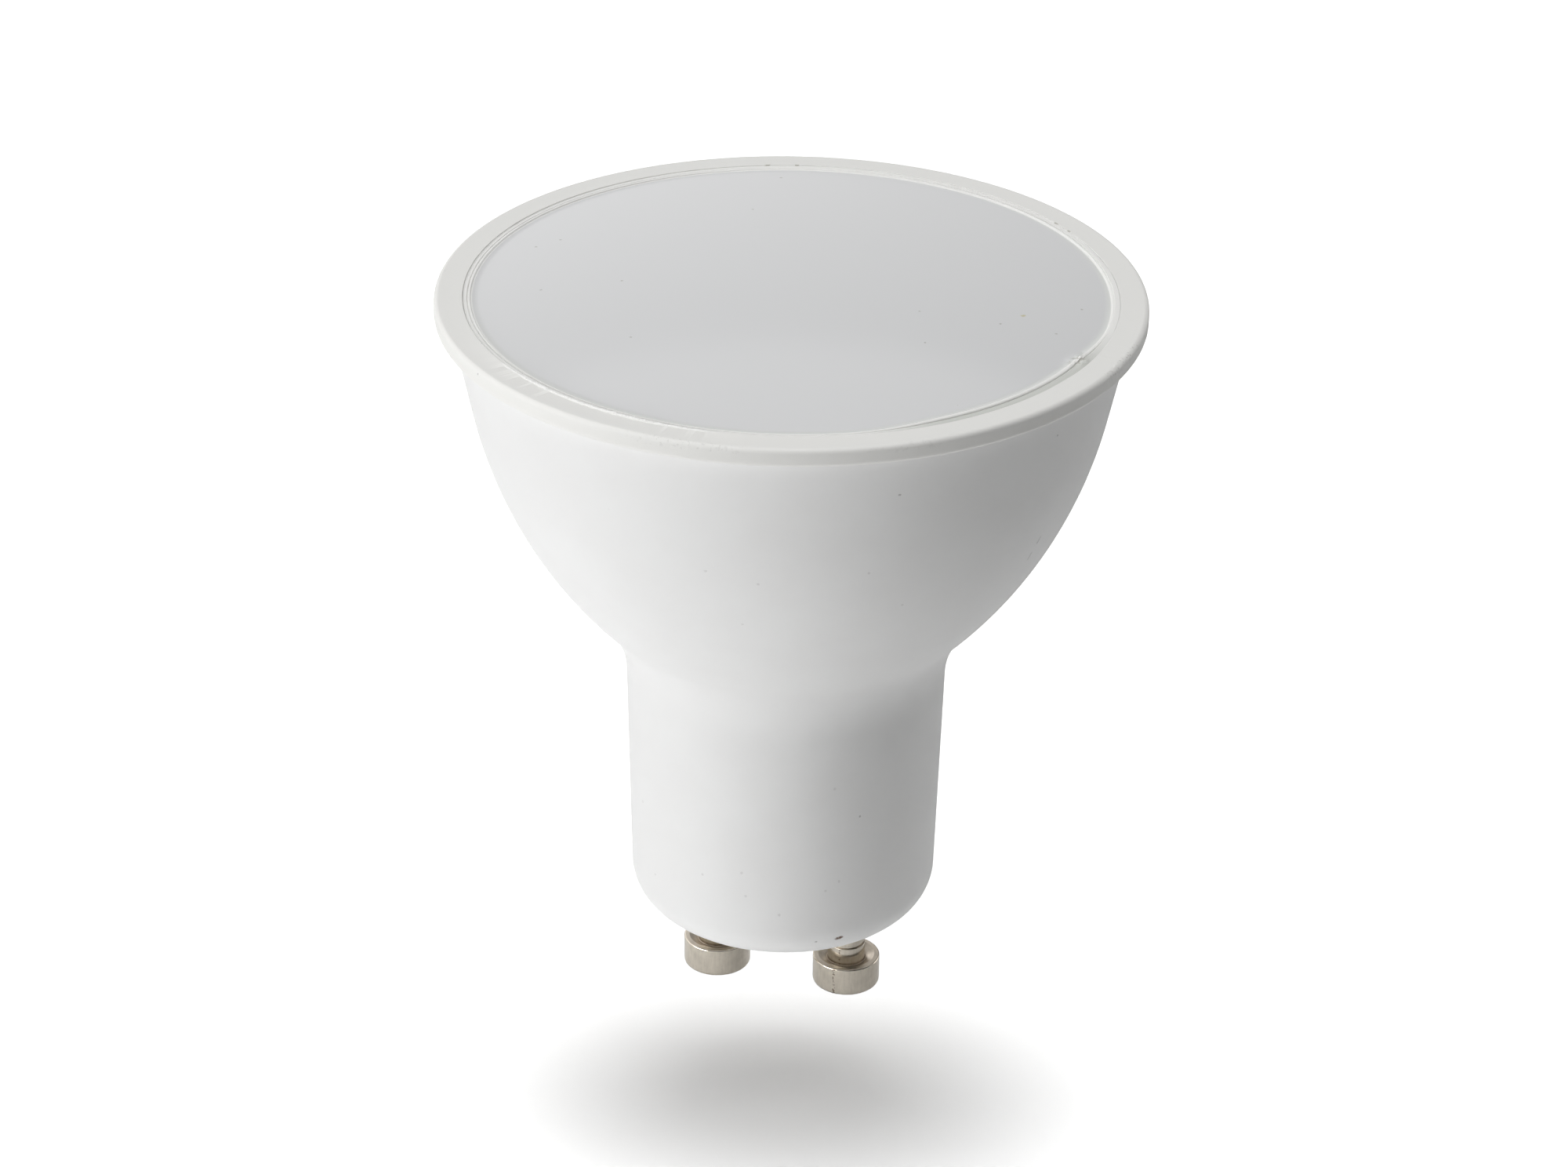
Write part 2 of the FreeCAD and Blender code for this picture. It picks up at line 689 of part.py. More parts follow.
def make_board_screw(label, side):
    body = turned(label, [
        ("0", "-screw_grip"),
        ("screw_diameter / 2", "-screw_grip"),
        ("screw_diameter / 2", "0"),
        ("screw_head_diameter / 2", "0"),
        ("screw_head_diameter / 2", "screw_head_height"),
        ("0", "screw_head_height"),
    ])
    slot = sketch_on(body, f"{label}_slot_plan", "XY_Plane", "screw_head_height")
    half_length = "screw_head_diameter"
    half_width = "screw_slot_width / 2"
    polygon(slot, [
        (f"-{half_length}", f"-{half_width}"),
        (half_length, f"-{half_width}"),
        (half_length, half_width),
        (f"-{half_length}", half_width),
    ])
    pocket(body, slot, f"{label}_slot", "screw_slot_depth")
    move(body, along=f"{side}screw_spacing / 2", up=LED_BOARD_TOP)


# Parts with two leads stand square on the front of the driver board. The leads pass through
# holes in it, so each part adds its pair to this list.
lead_holes = []


def stand_on_board(body, across, up, lead_pitch):
    """Turn a part to point forwards, seat it on the board and give it its two leads."""
    leads = sketch_on(body, f"{body.Label}_lead_plan", "XY_Plane")
    for side in ("", "-"):
        circle(leads, "0", f"{side}{lead_pitch} / 2", "lead_diameter")
        hole_up = f"{up} {side or '+'} {lead_pitch} / 2"
        lead_holes.append((across, hole_up, "lead_diameter + 2 * lead_clearance"))
    pad(body, leads, f"{body.Label}_leads", "board_thickness + lead_tail", backwards=True)
    body.Placement.Rotation = FreeCAD.Rotation(FreeCAD.Vector(1, 0, 0), -90)
    move(body, across, BOARD_FRONT, up)


def make_choke():
    core = turned("choke_core", [
        ("0", "0"),
        ("choke_diameter / 2", "0"),
        ("choke_diameter / 2", "choke_flange"),
        ("choke_waist / 2", "choke_flange"),
        ("choke_waist / 2", "choke_height - choke_flange"),
        ("choke_diameter / 2", "choke_height - choke_flange"),
        ("choke_diameter / 2", "choke_height"),
        ("0", "choke_height"),
    ])
    stand_on_board(core, "0", "base_floor + choke_up", "choke_lead_pitch")
    winding = turned("choke_winding", [
        ("choke_waist / 2 + winding_clearance", "choke_flange"),
        ("choke_diameter / 2 - winding_inset", "choke_flange"),
        ("choke_diameter / 2 - winding_inset", "choke_height - choke_flange"),
        ("choke_waist / 2 + winding_clearance", "choke_height - choke_flange"),
    ])
    winding.Placement.Rotation = FreeCAD.Rotation(FreeCAD.Vector(1, 0, 0), -90)
    move(winding, "0", BOARD_FRONT, "base_floor + choke_up")


def make_can_capacitor(label, stem, across):
    radius = f"{stem}_diameter / 2"
    waist = f"({radius} - can_crimp_depth)"
    body = turned(label, [
        ("0", "0"),
        (radius, "0"),
        (radius, "can_crimp_height - can_crimp_depth"),
        (waist, "can_crimp_height"),
        (radius, "can_crimp_height + can_crimp_depth"),
        (radius, f"{stem}_height"),
        ("0", f"{stem}_height"),
    ])
    rim = (value[f"{stem}_diameter"] / 2, value[f"{stem}_height"])
    round_edges(body, f"{label}_top_edge", [rim], "can_round")
    stand_on_board(body, across, f"{BOARD_TOP} - {stem}_drop", f"{stem}_lead_pitch")


def make_film_capacitor():
    body = body_named("film_capacitor")
    plan = sketch_on(body, "film_plan", "XY_Plane")
    half_width = "film_width / 2"
    half_length = "film_length / 2"
    polygon(plan, [
        (f"-{half_width}", f"-{half_length}"),
        (half_width, f"-{half_length}"),
        (half_width, half_length),
        (f"-{half_width}", half_length),
    ])
    pad(body, plan, "film_block", "film_height")
    doc.recompute()
    block = body.Tip
    top = [
        f"Edge{number}"
        for number, edge in enumerate(block.Shape.Edges, start=1)
        if edge.CenterOfMass.z > value["film_height"] - 0.01
    ]
    rounded = body.newObject("PartDesign::Fillet", "film_top_edges")
    rounded.Base = (block, top)
    rounded.setExpression("Radius", "Sizes.film_round")
    across = "-(choke_diameter / 2 + part_gap + film_width / 2)"
    stand_on_board(body, across, "base_floor + film_up", "film_lead_pitch")


def bent_rod(points, bend, diameter):
    """A round rod along straight runs joined by one tangent arc at each inner point."""
    edges = []
    start = points[0]
    for before, corner, after in zip(points, points[1:], points[2:]):
        arrive = (corner - before).normalize()
        leave = (after - corner).normalize()
        half_turn = arrive.getAngle(leave) / 2
        reach = bend * math.tan(half_turn)
        into = corner - arrive * reach
        out = corner + leave * reach
        bisector = (leave - arrive).normalize()
        middle = corner + bisector * (bend / math.cos(half_turn) - bend)
        edges.append(Part.LineSegment(start, into).toShape())
        edges.append(Part.Arc(into, middle, out).toShape())
        start = out
    edges.append(Part.LineSegment(start, points[-1]).toShape())
    path = Part.Wire(edges)
    section = Part.Circle(points[0], points[1] - points[0], diameter / 2).toShape()
    rod = path.makePipeShell([Part.Wire(section)], True, False)
    expected = math.pi * diameter ** 2 / 4 * path.Length
    if abs(rod.Volume - expected) > 0.01 * expected:
        raise ValueError(f"rod volume {rod.Volume:.3f}, section times length {expected:.3f}")
    return rod


# The fusible resistor lies along the board, with its leads bent down into it.
def make_fuse_resistor():
    front = value["board_thickness"] - value["board_offset"]
    across = value["choke_diameter"] / 2 + value["part_gap"] + value["fuse_diameter"] / 2
    middle = value["base_floor"] + value["fuse_up"]
    axis_along = front + value["fuse_seat_gap"] + value["fuse_diameter"] / 2
    end = value["fuse_length"] / 2
    half_pitch = value["fuse_lead_pitch"] / 2
    tail = -value["board_offset"] - value["lead_tail"]
    barrel = doc.addObject("Part::Cylinder", "fuse_barrel")
    barrel.setExpression("Radius", formula("fuse_diameter / 2"))
    barrel.setExpression("Height", formula("fuse_length"))
    axis_text = f"{BOARD_FRONT} + fuse_seat_gap + fuse_diameter / 2"
    move(barrel, FUSE_ACROSS, axis_text, "base_floor + fuse_up - fuse_length / 2")
    shapes = [barrel]
    for side, name in ((1, "upper"), (-1, "lower")):
        lead = doc.addObject("Part::Feature", f"fuse_{name}_lead")
        lead.Shape = bent_rod(
            [
                FreeCAD.Vector(across, axis_along, middle + side * (end - value["lead_diameter"])),
                FreeCAD.Vector(across, axis_along, middle + side * half_pitch),
                FreeCAD.Vector(across, tail, middle + side * half_pitch),
            ],
            value["lead_diameter"],
            value["lead_diameter"],
        )
        shapes.append(lead)
        sign = "+" if side > 0 else "-"
        hole_up = f"base_floor + fuse_up {sign} fuse_lead_pitch / 2"
        lead_holes.append((FUSE_ACROSS, hole_up, "lead_diameter + 2 * lead_clearance"))
    fused("fuse_resistor", shapes)


def make_legged_chip(label, stem, legs):
    """A flat package on the back of the board with gull-wing legs on both long sides."""
    back = "(-board_offset)"
    up = f"base_floor + {stem}_up"
    shapes = [box(
        f"{label}_case",
        (f"{stem}_length", f"{stem}_height - leg_thickness / 2", f"{stem}_width"),
        (f"{stem}_across - {stem}_length / 2", f"{back} - {stem}_height", f"{up} - {stem}_width / 2"),
    )]
    for column in range(legs):
        place = f"{stem}_across + ({column} - {(legs - 1) / 2}) * {stem}_leg_pitch - leg_width / 2"
        for name, start in (
            ("low", f"{up} - {stem}_width / 2 - {stem}_leg_reach"),
            ("high", f"{up} + {stem}_width / 2 - {stem}_leg_reach"),
        ):
            shapes.append(box(
                f"{label}_{name}_leg_{column + 1}",
                ("leg_width", "leg_thickness", f"2 * {stem}_leg_reach"),
                (place, f"{back} - leg_thickness", start),
            ))
    fused(label, shapes)


def make_capped_chip(label, size, across, up):
    """A flat two-ended package on the back of the board with proud metal end caps."""
    length, width, height = size
    back = "(-board_offset)"
    case = box(
        f"{label}_case",
        (width, f"{height} - end_cap_stand", f"{length} - end_cap"),
        (f"{across} - {width} / 2", f"{back} - {height}", f"{up} - ({length} - end_cap) / 2"),
    )
    shapes = [case]
    for name, start in (("lower", f"{up} - {length} / 2"), ("upper", f"{up} + {length} / 2 - end_cap")):
        shapes.append(box(
            f"{label}_{name}_cap",
            (f"{width} + 2 * end_cap_stand", f"{height} + end_cap_stand", "end_cap"),
            (
                f"{across} - {width} / 2 - end_cap_stand",
                f"{back} - {height} - end_cap_stand",
                start,
            ),
        ))
    fused(label, shapes)


def make_back_of_board():
    make_legged_chip("bridge_rectifier", "bridge", 2)
    make_legged_chip("driver_chip", "chip", 3)
    diode = ("diode_length", "diode_width", "diode_height")
    make_capped_chip("output_diode", diode, "diode_across", "base_floor + diode_up")
    resistor = ("resistor_length", "resistor_width", "resistor_height")
    row = "base_floor + sense_up"
    make_capped_chip("sense_resistor_1", resistor, "resistor_column", row)
    make_capped_chip("sense_resistor_2", resistor, "resistor_column - sense_spacing", row)
    make_capped_chip("start_resistor", resistor, "start_across", row)


# The lamp's wires: each input wire runs from a pin's bore to the driver board, and each
# output wire from the board up through the heat sink to the LED board.
def make_wires():
    behind = -value["board_offset"] - value["wire_tail"]
    bore_foot = value["base_floor"] + value["stake_height"] - value["pin_bore_depth"]
    input_up = value["base_floor"] + value["input_wire_up"]
    for label, side in (("input_wire_left", -1), ("input_wire_right", 1)):
        across = side * value["pin_pitch"] / 2
        wire = node(doc.addObject("Part::Feature", label), label)
        wire.Shape = bent_rod(
            [
                FreeCAD.Vector(across, 0, bore_foot),
                FreeCAD.Vector(across, 0, input_up),
                FreeCAD.Vector(across, behind, input_up),
            ],
            value["input_wire_bend"],
            value["input_wire_diameter"],
        )
        sign = "-" if side < 0 else ""
        bore = "input_wire_diameter + 2 * wire_clearance"
        lead_holes.append((f"{sign}pin_pitch / 2", "base_floor + input_wire_up", bore))
    output_up = plate_up - value["cup_thickness"] - value["board_top_gap"] - value["output_wire_drop"]
    led_board_top = plate_up + value["led_board_thickness"]
    run_up = led_board_top + value["output_wire_diameter"] / 2 + value["wire_stand"]
    for label, side in (("output_wire_negative", -1), ("output_wire_positive", 1)):
        across = side * value["output_wire_half_gap"]
        wire = node(doc.addObject("Part::Feature", label), label)
        wire.Shape = bent_rod(
            [
                FreeCAD.Vector(across, behind, output_up),
                FreeCAD.Vector(across, 0, output_up),
                FreeCAD.Vector(across, 0, run_up),
                FreeCAD.Vector(side * value["output_wire_reach"], 0, run_up),
            ],
            value["output_wire_bend"],
            value["output_wire_diameter"],
        )
        sign = "-" if side < 0 else ""
        bore = "output_wire_diameter + 2 * wire_clearance"
        lead_holes.append((f"{sign}output_wire_half_gap", f"{BOARD_TOP} - output_wire_drop", bore))


# The driver board stands on the cavity floor, drilled for every lead and wire.
def make_driver_board():
    body = body_named("driver_board")
    plan = sketch_on(body, "driver_board_plan", "XZ_Plane", f"-({BOARD_FRONT})")
    polygon(plan, [
        (f"-{BOARD_HALF_WIDTH}", "base_floor"),
        (BOARD_HALF_WIDTH, "base_floor"),
        (BOARD_HALF_WIDTH, BOARD_TOP),
        (f"-{BOARD_HALF_WIDTH}", BOARD_TOP),
    ])
    for across, up, diameter in lead_holes:
        circle(plan, across, up, diameter)
    pad(body, plan, "driver_board_plate", "board_thickness")


housing = make_housing()
make_front_ring()
make_diffuser()
make_pin("contact_pin_left", "-")
make_pin("contact_pin_right", "")
make_heat_sink()
make_led_board()
make_leds()
make_board_screw("board_screw_front", "-")
make_board_screw("board_screw_back", "")
make_choke()
make_can_capacitor("filter_capacitor", "filter", "filter_across")
beside_filter = "filter_across + filter_diameter / 2 + output_gap + output_diameter / 2"
make_can_capacitor("output_capacitor", "output", beside_filter)
make_film_capacitor()
make_fuse_resistor()
make_back_of_board()
make_wires()
make_driver_board()

doc.recompute()
for thing in doc.Objects:
    if any(word in ("Invalid", "Error") for word in thing.State):
        raise RuntimeError(f"{thing.Label} failed: {thing.State}")
for thing in nodes:
    if thing.Shape.isNull() or not thing.Shape.isValid() or len(thing.Shape.Solids) != 1:
        raise RuntimeError(f"{thing.Label} isn't one valid solid")
shell = doc.getObject("board_ribs").Shape.Volume
if housing.Shape.Volume >= shell:
    raise RuntimeError("the pin holes cut nothing")

os.makedirs("parts", exist_ok=True)
for thing in nodes:
    thing.Shape.exportStep(f"parts/{thing.Label}.step")
print(f"{len(nodes)} pieces")
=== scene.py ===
import math

import bmesh
import bpy
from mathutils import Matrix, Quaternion, Vector, noise


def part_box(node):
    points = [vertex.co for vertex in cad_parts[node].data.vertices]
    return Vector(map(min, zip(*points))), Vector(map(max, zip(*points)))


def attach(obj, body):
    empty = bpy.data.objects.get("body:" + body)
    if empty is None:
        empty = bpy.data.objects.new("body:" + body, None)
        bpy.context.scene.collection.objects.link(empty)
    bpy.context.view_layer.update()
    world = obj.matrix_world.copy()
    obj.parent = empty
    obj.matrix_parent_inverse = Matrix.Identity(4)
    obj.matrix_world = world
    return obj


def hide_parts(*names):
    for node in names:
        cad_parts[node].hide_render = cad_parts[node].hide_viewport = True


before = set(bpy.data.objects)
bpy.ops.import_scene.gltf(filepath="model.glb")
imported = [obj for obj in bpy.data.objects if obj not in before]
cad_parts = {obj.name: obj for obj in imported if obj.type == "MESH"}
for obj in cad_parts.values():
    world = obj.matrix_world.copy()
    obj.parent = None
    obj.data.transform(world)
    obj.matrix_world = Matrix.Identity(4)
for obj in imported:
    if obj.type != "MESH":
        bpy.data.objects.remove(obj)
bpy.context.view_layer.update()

MM = 0.001

# Housing. One thick-walled moulding in white heat-proof plastic: the base that plugs into the
# lampholder, the drafted neck round the driver and the bowl that holds the front. The mould
# left an even satin on it, and handling left a few dark specks.
base_corner = 3.0 * MM
neck_radius = 11.2 * MM
neck_draft = math.radians(1.43)
flare_radius = 8.1 * MM
bowl_radius = 33.8 * MM
mouth_depth = 6.45 * MM
mouth_draft = math.radians(11.8)
wall = 1.3 * MM
base_floor = 3.0 * MM
cup_height = 9.5 * MM
shoulder_width = 1.35 * MM
shoulder_depth = 1.8 * MM
pin_hole_radius = 1.45 * MM
housing_colour = (0.83, 0.833, 0.828, 1)
housing_second = (0.815, 0.815, 0.81, 1)
speck_colour = (0.30, 0.29, 0.28, 1)
smear_colour = (0.16, 0.10, 0.07, 1)
mark_size = 0.13 * MM
ghost_size = 0.14 * MM
smear_size = 0.2 * MM

housing_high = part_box("housing")[1]
mouth_radius = housing_high.x
seat_up = housing_high.z
plate_up = seat_up - mouth_depth
shoulder_up = plate_up - cup_height
pin_centres = {}
for pin in ("contact_pin_left", "contact_pin_right"):
    pin_low, pin_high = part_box(pin)
    pin_centres[pin] = (pin_low + pin_high) / 2


class Link:
    """One output of a material's nodes. Arithmetic on it adds Math nodes."""

    def __init__(self, tree, socket=None):
        self.tree = tree
        self.socket = socket

    def add(self, kind, settings, inputs, output=0):
        """Add a node: its settings first, then a number, colour or link for each input."""
        made = self.tree.nodes.new(kind)
        for name, setting in settings.items():
            setattr(made, name, setting)
        for name, source in inputs.items():
            if isinstance(source, Link):
                self.tree.links.new(source.socket, made.inputs[name])
            else:
                made.inputs[name].default_value = source
        return Link(self.tree, made.outputs[output]) if made.outputs else None

    def other(self, output):
        """Another output of the same node."""
        return Link(self.tree, self.socket.node.outputs[output])

    def maths(self, operation, *values):
        return self.add("ShaderNodeMath", {"operation": operation}, dict(enumerate(values)))

    def __add__(self, value):
        return self.maths("ADD", self, value)

    def __sub__(self, value):
        return self.maths("SUBTRACT", self, value)

    def __rsub__(self, value):
        return self.maths("SUBTRACT", value, self)

    def __mul__(self, value):
        return self.maths("MULTIPLY", self, value)

    __radd__ = __add__
    __rmul__ = __mul__

    def __abs__(self):
        return self.maths("ABSOLUTE", self)

    def above(self, limit):
        return self.maths("GREATER_THAN", self, limit)

    def rise(self, low, high):
        """0 up to low, 1 from high, smooth between."""
        ends = {"Value": self, "From Min": low, "From Max": high}
        return self.add("ShaderNodeMapRange", {"interpolation_type": "SMOOTHSTEP"}, ends)

    def tint(self, first, second):
        """The first colour where this is 0, the second where it is 1."""
        return self.add("ShaderNodeMix", {"data_type": "RGBA"}, {0: self, 6: first, 7: second}, 2)

    def vector(self, operation, *values, output=0):
        inputs = dict(enumerate(values))
        return self.add("ShaderNodeVectorMath", {"operation": operation}, inputs, output)

    def along(self, way):
        """How far this place or direction goes along a unit vector."""
        return self.vector("DOT_PRODUCT", self, way, output=1)

    def grain(self, scale, detail=2.0):
        """Noise over this place, about 0.5 in the mean, with so many features a metre."""
        return self.add("ShaderNodeTexNoise", {}, {"Vector": self, "Scale": scale, "Detail": detail})

    def specks(self, spacing, size, share):
        """Sparse round specks: 1 inside them, over a share of the cells so far apart."""
        near = self.add("ShaderNodeTexVoronoi", {}, {"Vector": self, "Scale": 1 / spacing})
        chance = near.add("ShaderNodeSeparateColor", {}, {"Color": near.other("Color")})
        return (1 - near.rise(0.6 * size / spacing, size / spacing)) * chance.above(1 - share)

    def marks(self, places, size):
        """Ragged specks set one by one: 1 inside this size about each place."""
        shift = self.add("ShaderNodeTexNoise", {}, {"Vector": self, "Scale": 0.7 / size}, 1)
        shift = shift.vector("MULTIPLY_ADD", shift, (1.4 * size,) * 3, (-0.7 * size,) * 3)
        ragged = self.vector("ADD", self, shift)
        found = 0.0
        for place in places:
            away = self.vector("DISTANCE", ragged, place, output=1)
            found = found + (1 - away.rise(0.4 * size, size))
        return found

    def band(self, middle, half, soft):
        """1 within half of a middle value, 0 beyond it, over a soft step."""
        return 1 - abs(self - middle).rise(half, half + soft)

    def sector(self, middle, half, soft):
        """The same for an angle, with the three given in degrees."""
        return self.band(math.radians(middle), math.radians(half), math.radians(soft))

    def about_axis(self):
        """Distance from the upright axis, height, and angle round it."""
        x, y, up = self.split()
        across = self.vector("LENGTH", self.vector("MULTIPLY", self, (1, 1, 0)), output=1)
        return across, up, x.maths("ARCTAN2", y, x)

    def bump(self, height, under=None):
        """The normal of a surface raised by this much of a height."""
        inputs = {"Strength": 1.0, "Distance": height, "Height": self}
        if under:
            inputs["Normal"] = under
        return self.add("ShaderNodeBump", {}, inputs)

    def place(self):
        return self.add("ShaderNodeTexCoord", {}, {}, "Object")

    def split(self):
        """The three numbers of a vector."""
        across = self.add("ShaderNodeSeparateXYZ", {}, {0: self})
        return across, across.other(1), across.other(2)

    def join(self, x, y, z):
        return self.add("ShaderNodeCombineXYZ", {}, {0: x, 1: y, 2: z})


def material_of(name, make):
    """A new material whose surface is what make returns for its nodes."""
    material = bpy.data.materials.new(name)
    material.use_nodes = True
    material.node_tree.nodes.clear()
    nodes = Link(material.node_tree)
    nodes.add("ShaderNodeOutputMaterial", {}, {"Surface": make(nodes)})
    return material


def principled(nodes, **inputs):
    """A Principled surface; an input's name is written with _ for a space."""
    named = {name.replace("_", " "): source for name, source in inputs.items()}
    return nodes.add("ShaderNodeBsdfPrincipled", {}, named)


def arc(centre, radius, start, finish, steps):
    """Points of an arc between two angles in radians, both ends included."""
    points = []
    for step in range(steps + 1):
        angle = start + (finish - start) * step / steps
        across = centre.x + radius * math.cos(angle)
        points.append(Vector((across, centre.y + radius * math.sin(angle))))
    return points


def angle_to(centre, target):
    return math.atan2(target.y - centre.y, target.x - centre.x)


def lathe(name, section, centre=(0, 0), segments=288, warp=None):
    """Turn a closed section of (across, up) points about an upright axis."""
    made = bmesh.new()
    rings = []
    for across, up in section:
        if across < 1e-6:
            rings.append([made.verts.new((centre[0], centre[1], up))])
            continue
        ring = []
        for step in range(segments):
            angle = math.tau * step / segments
            reach, height = warp(angle, across, up) if warp else (across, up)
            x = centre[0] + reach * math.cos(angle)
            y = centre[1] + reach * math.sin(angle)
            ring.append(made.verts.new((x, y, height)))
        rings.append(ring)
    for first, second in zip(rings, rings[1:] + rings[:1]):
        if len(first) == len(second) == 1:
            continue
        for step in range(segments):
            after = (step + 1) % segments
            corners = [first[step % len(first)], first[after % len(first)]]
            corners += [second[after % len(second)], second[step % len(second)]]
            made.faces.new(list(dict.fromkeys(corners)))
    bmesh.ops.recalc_face_normals(made, faces=made.faces)
    mesh = bpy.data.meshes.new(name)
    made.to_mesh(mesh)
    made.free()
    return smooth_object(name, mesh)


def smooth_object(name, mesh):
    """An object with smooth faces, whose edges over 30 degrees stay sharp."""
    mesh.shade_smooth()
    mesh.set_sharp_from_angle(angle=math.radians(30))
    piece = bpy.data.objects.new(name, mesh)
    bpy.context.scene.collection.objects.link(piece)
    return piece


def carve(piece, tool):
    """Cut a tool out of a piece, and delete the tool."""
    step = piece.modifiers.new("carve", "BOOLEAN")
    step.operation = "DIFFERENCE"
    step.solver = "EXACT"
    step.object = tool
    seen = piece.evaluated_get(bpy.context.evaluated_depsgraph_get())
    mesh = bpy.data.meshes.new_from_object(seen)
    piece.modifiers.clear()
    piece.data = mesh
    bpy.data.objects.remove(tool)


def housing_section():
    """Outside line from the base up to the mouth, then the inside line back down."""
    neck_out = Vector((math.cos(neck_draft), -math.sin(neck_draft)))
    neck_up = Vector((math.sin(neck_draft), math.cos(neck_draft)))
    neck_foot = Vector((neck_radius, base_corner * (1 + math.sin(neck_draft))))
    mouth_out = Vector((math.cos(mouth_draft), -math.sin(mouth_draft)))
    mouth_edge = Vector((mouth_radius, seat_up))
    break_point = mouth_edge - Vector((math.tan(mouth_draft), 1)) * mouth_depth
    bowl_centre = break_point - mouth_out * bowl_radius
    flare_start = neck_foot + neck_out * flare_radius
    away = flare_start - bowl_centre
    along = away.dot(neck_up)
    reach = bowl_radius + flare_radius
    climb = -along - math.sqrt(along ** 2 - away.length_squared + reach ** 2)
    flare_centre = flare_start + neck_up * climb
    neck_side = math.pi - neck_draft
    flare_side = angle_to(flare_centre, bowl_centre)
    bowl_foot = angle_to(bowl_centre, flare_centre)
    inner_bowl = bowl_radius - wall
    shoulder_angle = math.asin((shoulder_up - bowl_centre.y) / inner_bowl)
    slant_angle = math.asin((shoulder_up - shoulder_depth - bowl_centre.y) / inner_bowl)
    outside = [Vector((0, 0))]
    outside += arc(neck_foot - neck_out * base_corner, base_corner, -math.pi / 2, -neck_draft, 18)
    outside += arc(flare_centre, flare_radius, neck_side, flare_side, 14)
    outside += arc(bowl_centre, bowl_radius, bowl_foot, -mouth_draft, 30)[1:]
    outside.append(mouth_edge)
    inside = [mouth_edge - Vector((wall / math.cos(mouth_draft), 0))]
    inside += arc(bowl_centre, inner_bowl, -mouth_draft, shoulder_angle, 12)
    inside.append(inside[-1] - Vector((shoulder_width, 0)))
    inside += arc(bowl_centre, inner_bowl, slant_angle, bowl_foot, 10)
    inside += arc(flare_centre, flare_radius + wall, flare_side, neck_side, 12)[1:]
    foot = inside[-1] - neck_up * ((inside[-1].y - base_floor) / neck_up.y)
    inside += [foot, Vector((0, base_floor))]
    return outside + inside


# Where the dark specks, the faint ones and the brown smear lie on it, in millimetres.
housing_marks = [
    (12.52, -19.55, 44.17), (21.18, -10.06, 45.28), (19.78, -7.32, 36.00), (19.68, -7.35, 35.79),
    (19.59, -7.37, 35.57), (19.19, -7.39, 34.67), (19.09, -7.38, 34.43), (18.98, -7.36, 34.20),
    (7.75, -8.40, 12.34), (5.04, -9.81, 2.15),
]
housing_ghosts = [
    (-0.22, -21.69, 37.73), (3.31, -21.19, 36.97), (1.85, -19.67, 32.93), (12.18, -16.33, 34.23),
    (10.40, -19.04, 37.74), (-8.75, -7.28, 10.31), (-7.48, -8.40, 4.97), (-3.26, -10.82, 7.08),
    (-0.20, -11.32, 8.01), (0.10, -11.27, 6.06), (2.54, -10.95, 4.68), (5.65, -9.77, 6.56),
    (6.50, -9.25, 7.18), (6.17, -9.70, 15.10),
]
housing_smears = [(6.67, -8.82, 2.23), (6.52, -8.92, 2.20), (6.36, -9.01, 2.16)]


def in_mm(spots):
    """Places given in millimetres."""
    return [Vector(spot) * MM for spot in spots]


def housing_surface(nodes):
    place = nodes.place()
    cloudy = place.grain(180, 3.0)
    satin = place.grain(9000, 3.0)
    marks = place.specks(1.4 * MM, 0.06 * MM, 0.02) + place.marks(in_mm(housing_marks), mark_size)
    ghosts = place.marks(in_mm(housing_ghosts), ghost_size)
    smears = place.marks(in_mm(housing_smears), smear_size)
    colour = cloudy.rise(0.3, 0.7).tint(housing_colour, housing_second)
    colour = (0.6 * marks + 0.22 * ghosts).tint(colour, speck_colour)
    return principled(
        nodes,
        Base_Color=(smears * 0.8).tint(colour, smear_colour),
        Roughness=0.42 + 0.1 * satin,
        Normal=satin.bump(0.0012 * MM),
    )


housing = lathe("housing_moulding", housing_section())
drill_section = [(0, -MM), (pin_hole_radius, -MM), (pin_hole_radius, 4 * MM), (0, 4 * MM)]
for pin_centre in pin_centres.values():
    carve(housing, lathe("pin_drill", drill_section, centre=pin_centre, segments=64))
housing.data.shade_smooth()
housing.data.set_sharp_from_angle(angle=math.radians(30))
housing.data.materials.append(material_of("housing_white", housing_surface))
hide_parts("housing")
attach(housing, "root")

# Front ring. A second, slightly greyer moulding welded on the bowl's mouth. Its weld left a raised
# broken line on the inner edge, painted near-white as a highlight, and the outer edge is rubbed rough in
# three places.
rim_radius = 24.995 * MM
ring_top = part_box("front_ring")[1].z
ring_top_round = 0.34 * MM
ring_foot_round = 0.38 * MM
ring_inner_round = 0.06 * MM
ring_width = 2.03 * MM
opening_radius = 25.0 * MM - ring_width
bead_top = ring_top - 0.05 * MM
diffuser_seat = bead_top - 0.85 * MM
spigot_length = 2.25 * MM
spigot_clearance = 0.15 * MM
spigot_wall = 1.0 * MM
weld_lip = 0.11 * MM
rub_depth = 0.06 * MM
edge_waviness = 0.005 * MM
inner_waviness = 0.012 * MM
ring_mark_size = 0.14 * MM
ring_marks = [(-17.2, -18.2, 48.5), (-24.4, -3.2, 48.7), (24.6, -2.5, 48.5)]
# Sides of the ring in degrees: a middle and a spread, and for the rubbed ones how strong they are.
rubbed_places = [(-92, 8, 0.4), (-58, 6, 0.25), (-10, 6, 1)]
joint_dirt = [(43.8, 1.6), (48.1, 1.2), (108.8, 1.3), (103.5, 1.0)]
merged_side = (12, 22)
weld_middle = -110.5
weld_half = 18.5
ring_colour = (0.842, 0.84, 0.816, 1)
rubbed_colour = (0.90, 0.895, 0.87, 1)
weld_highlight_colour = (0.97, 0.97, 0.96, 1)
dirt_and_shade_colour = (0.30, 0.28, 0.22, 1)


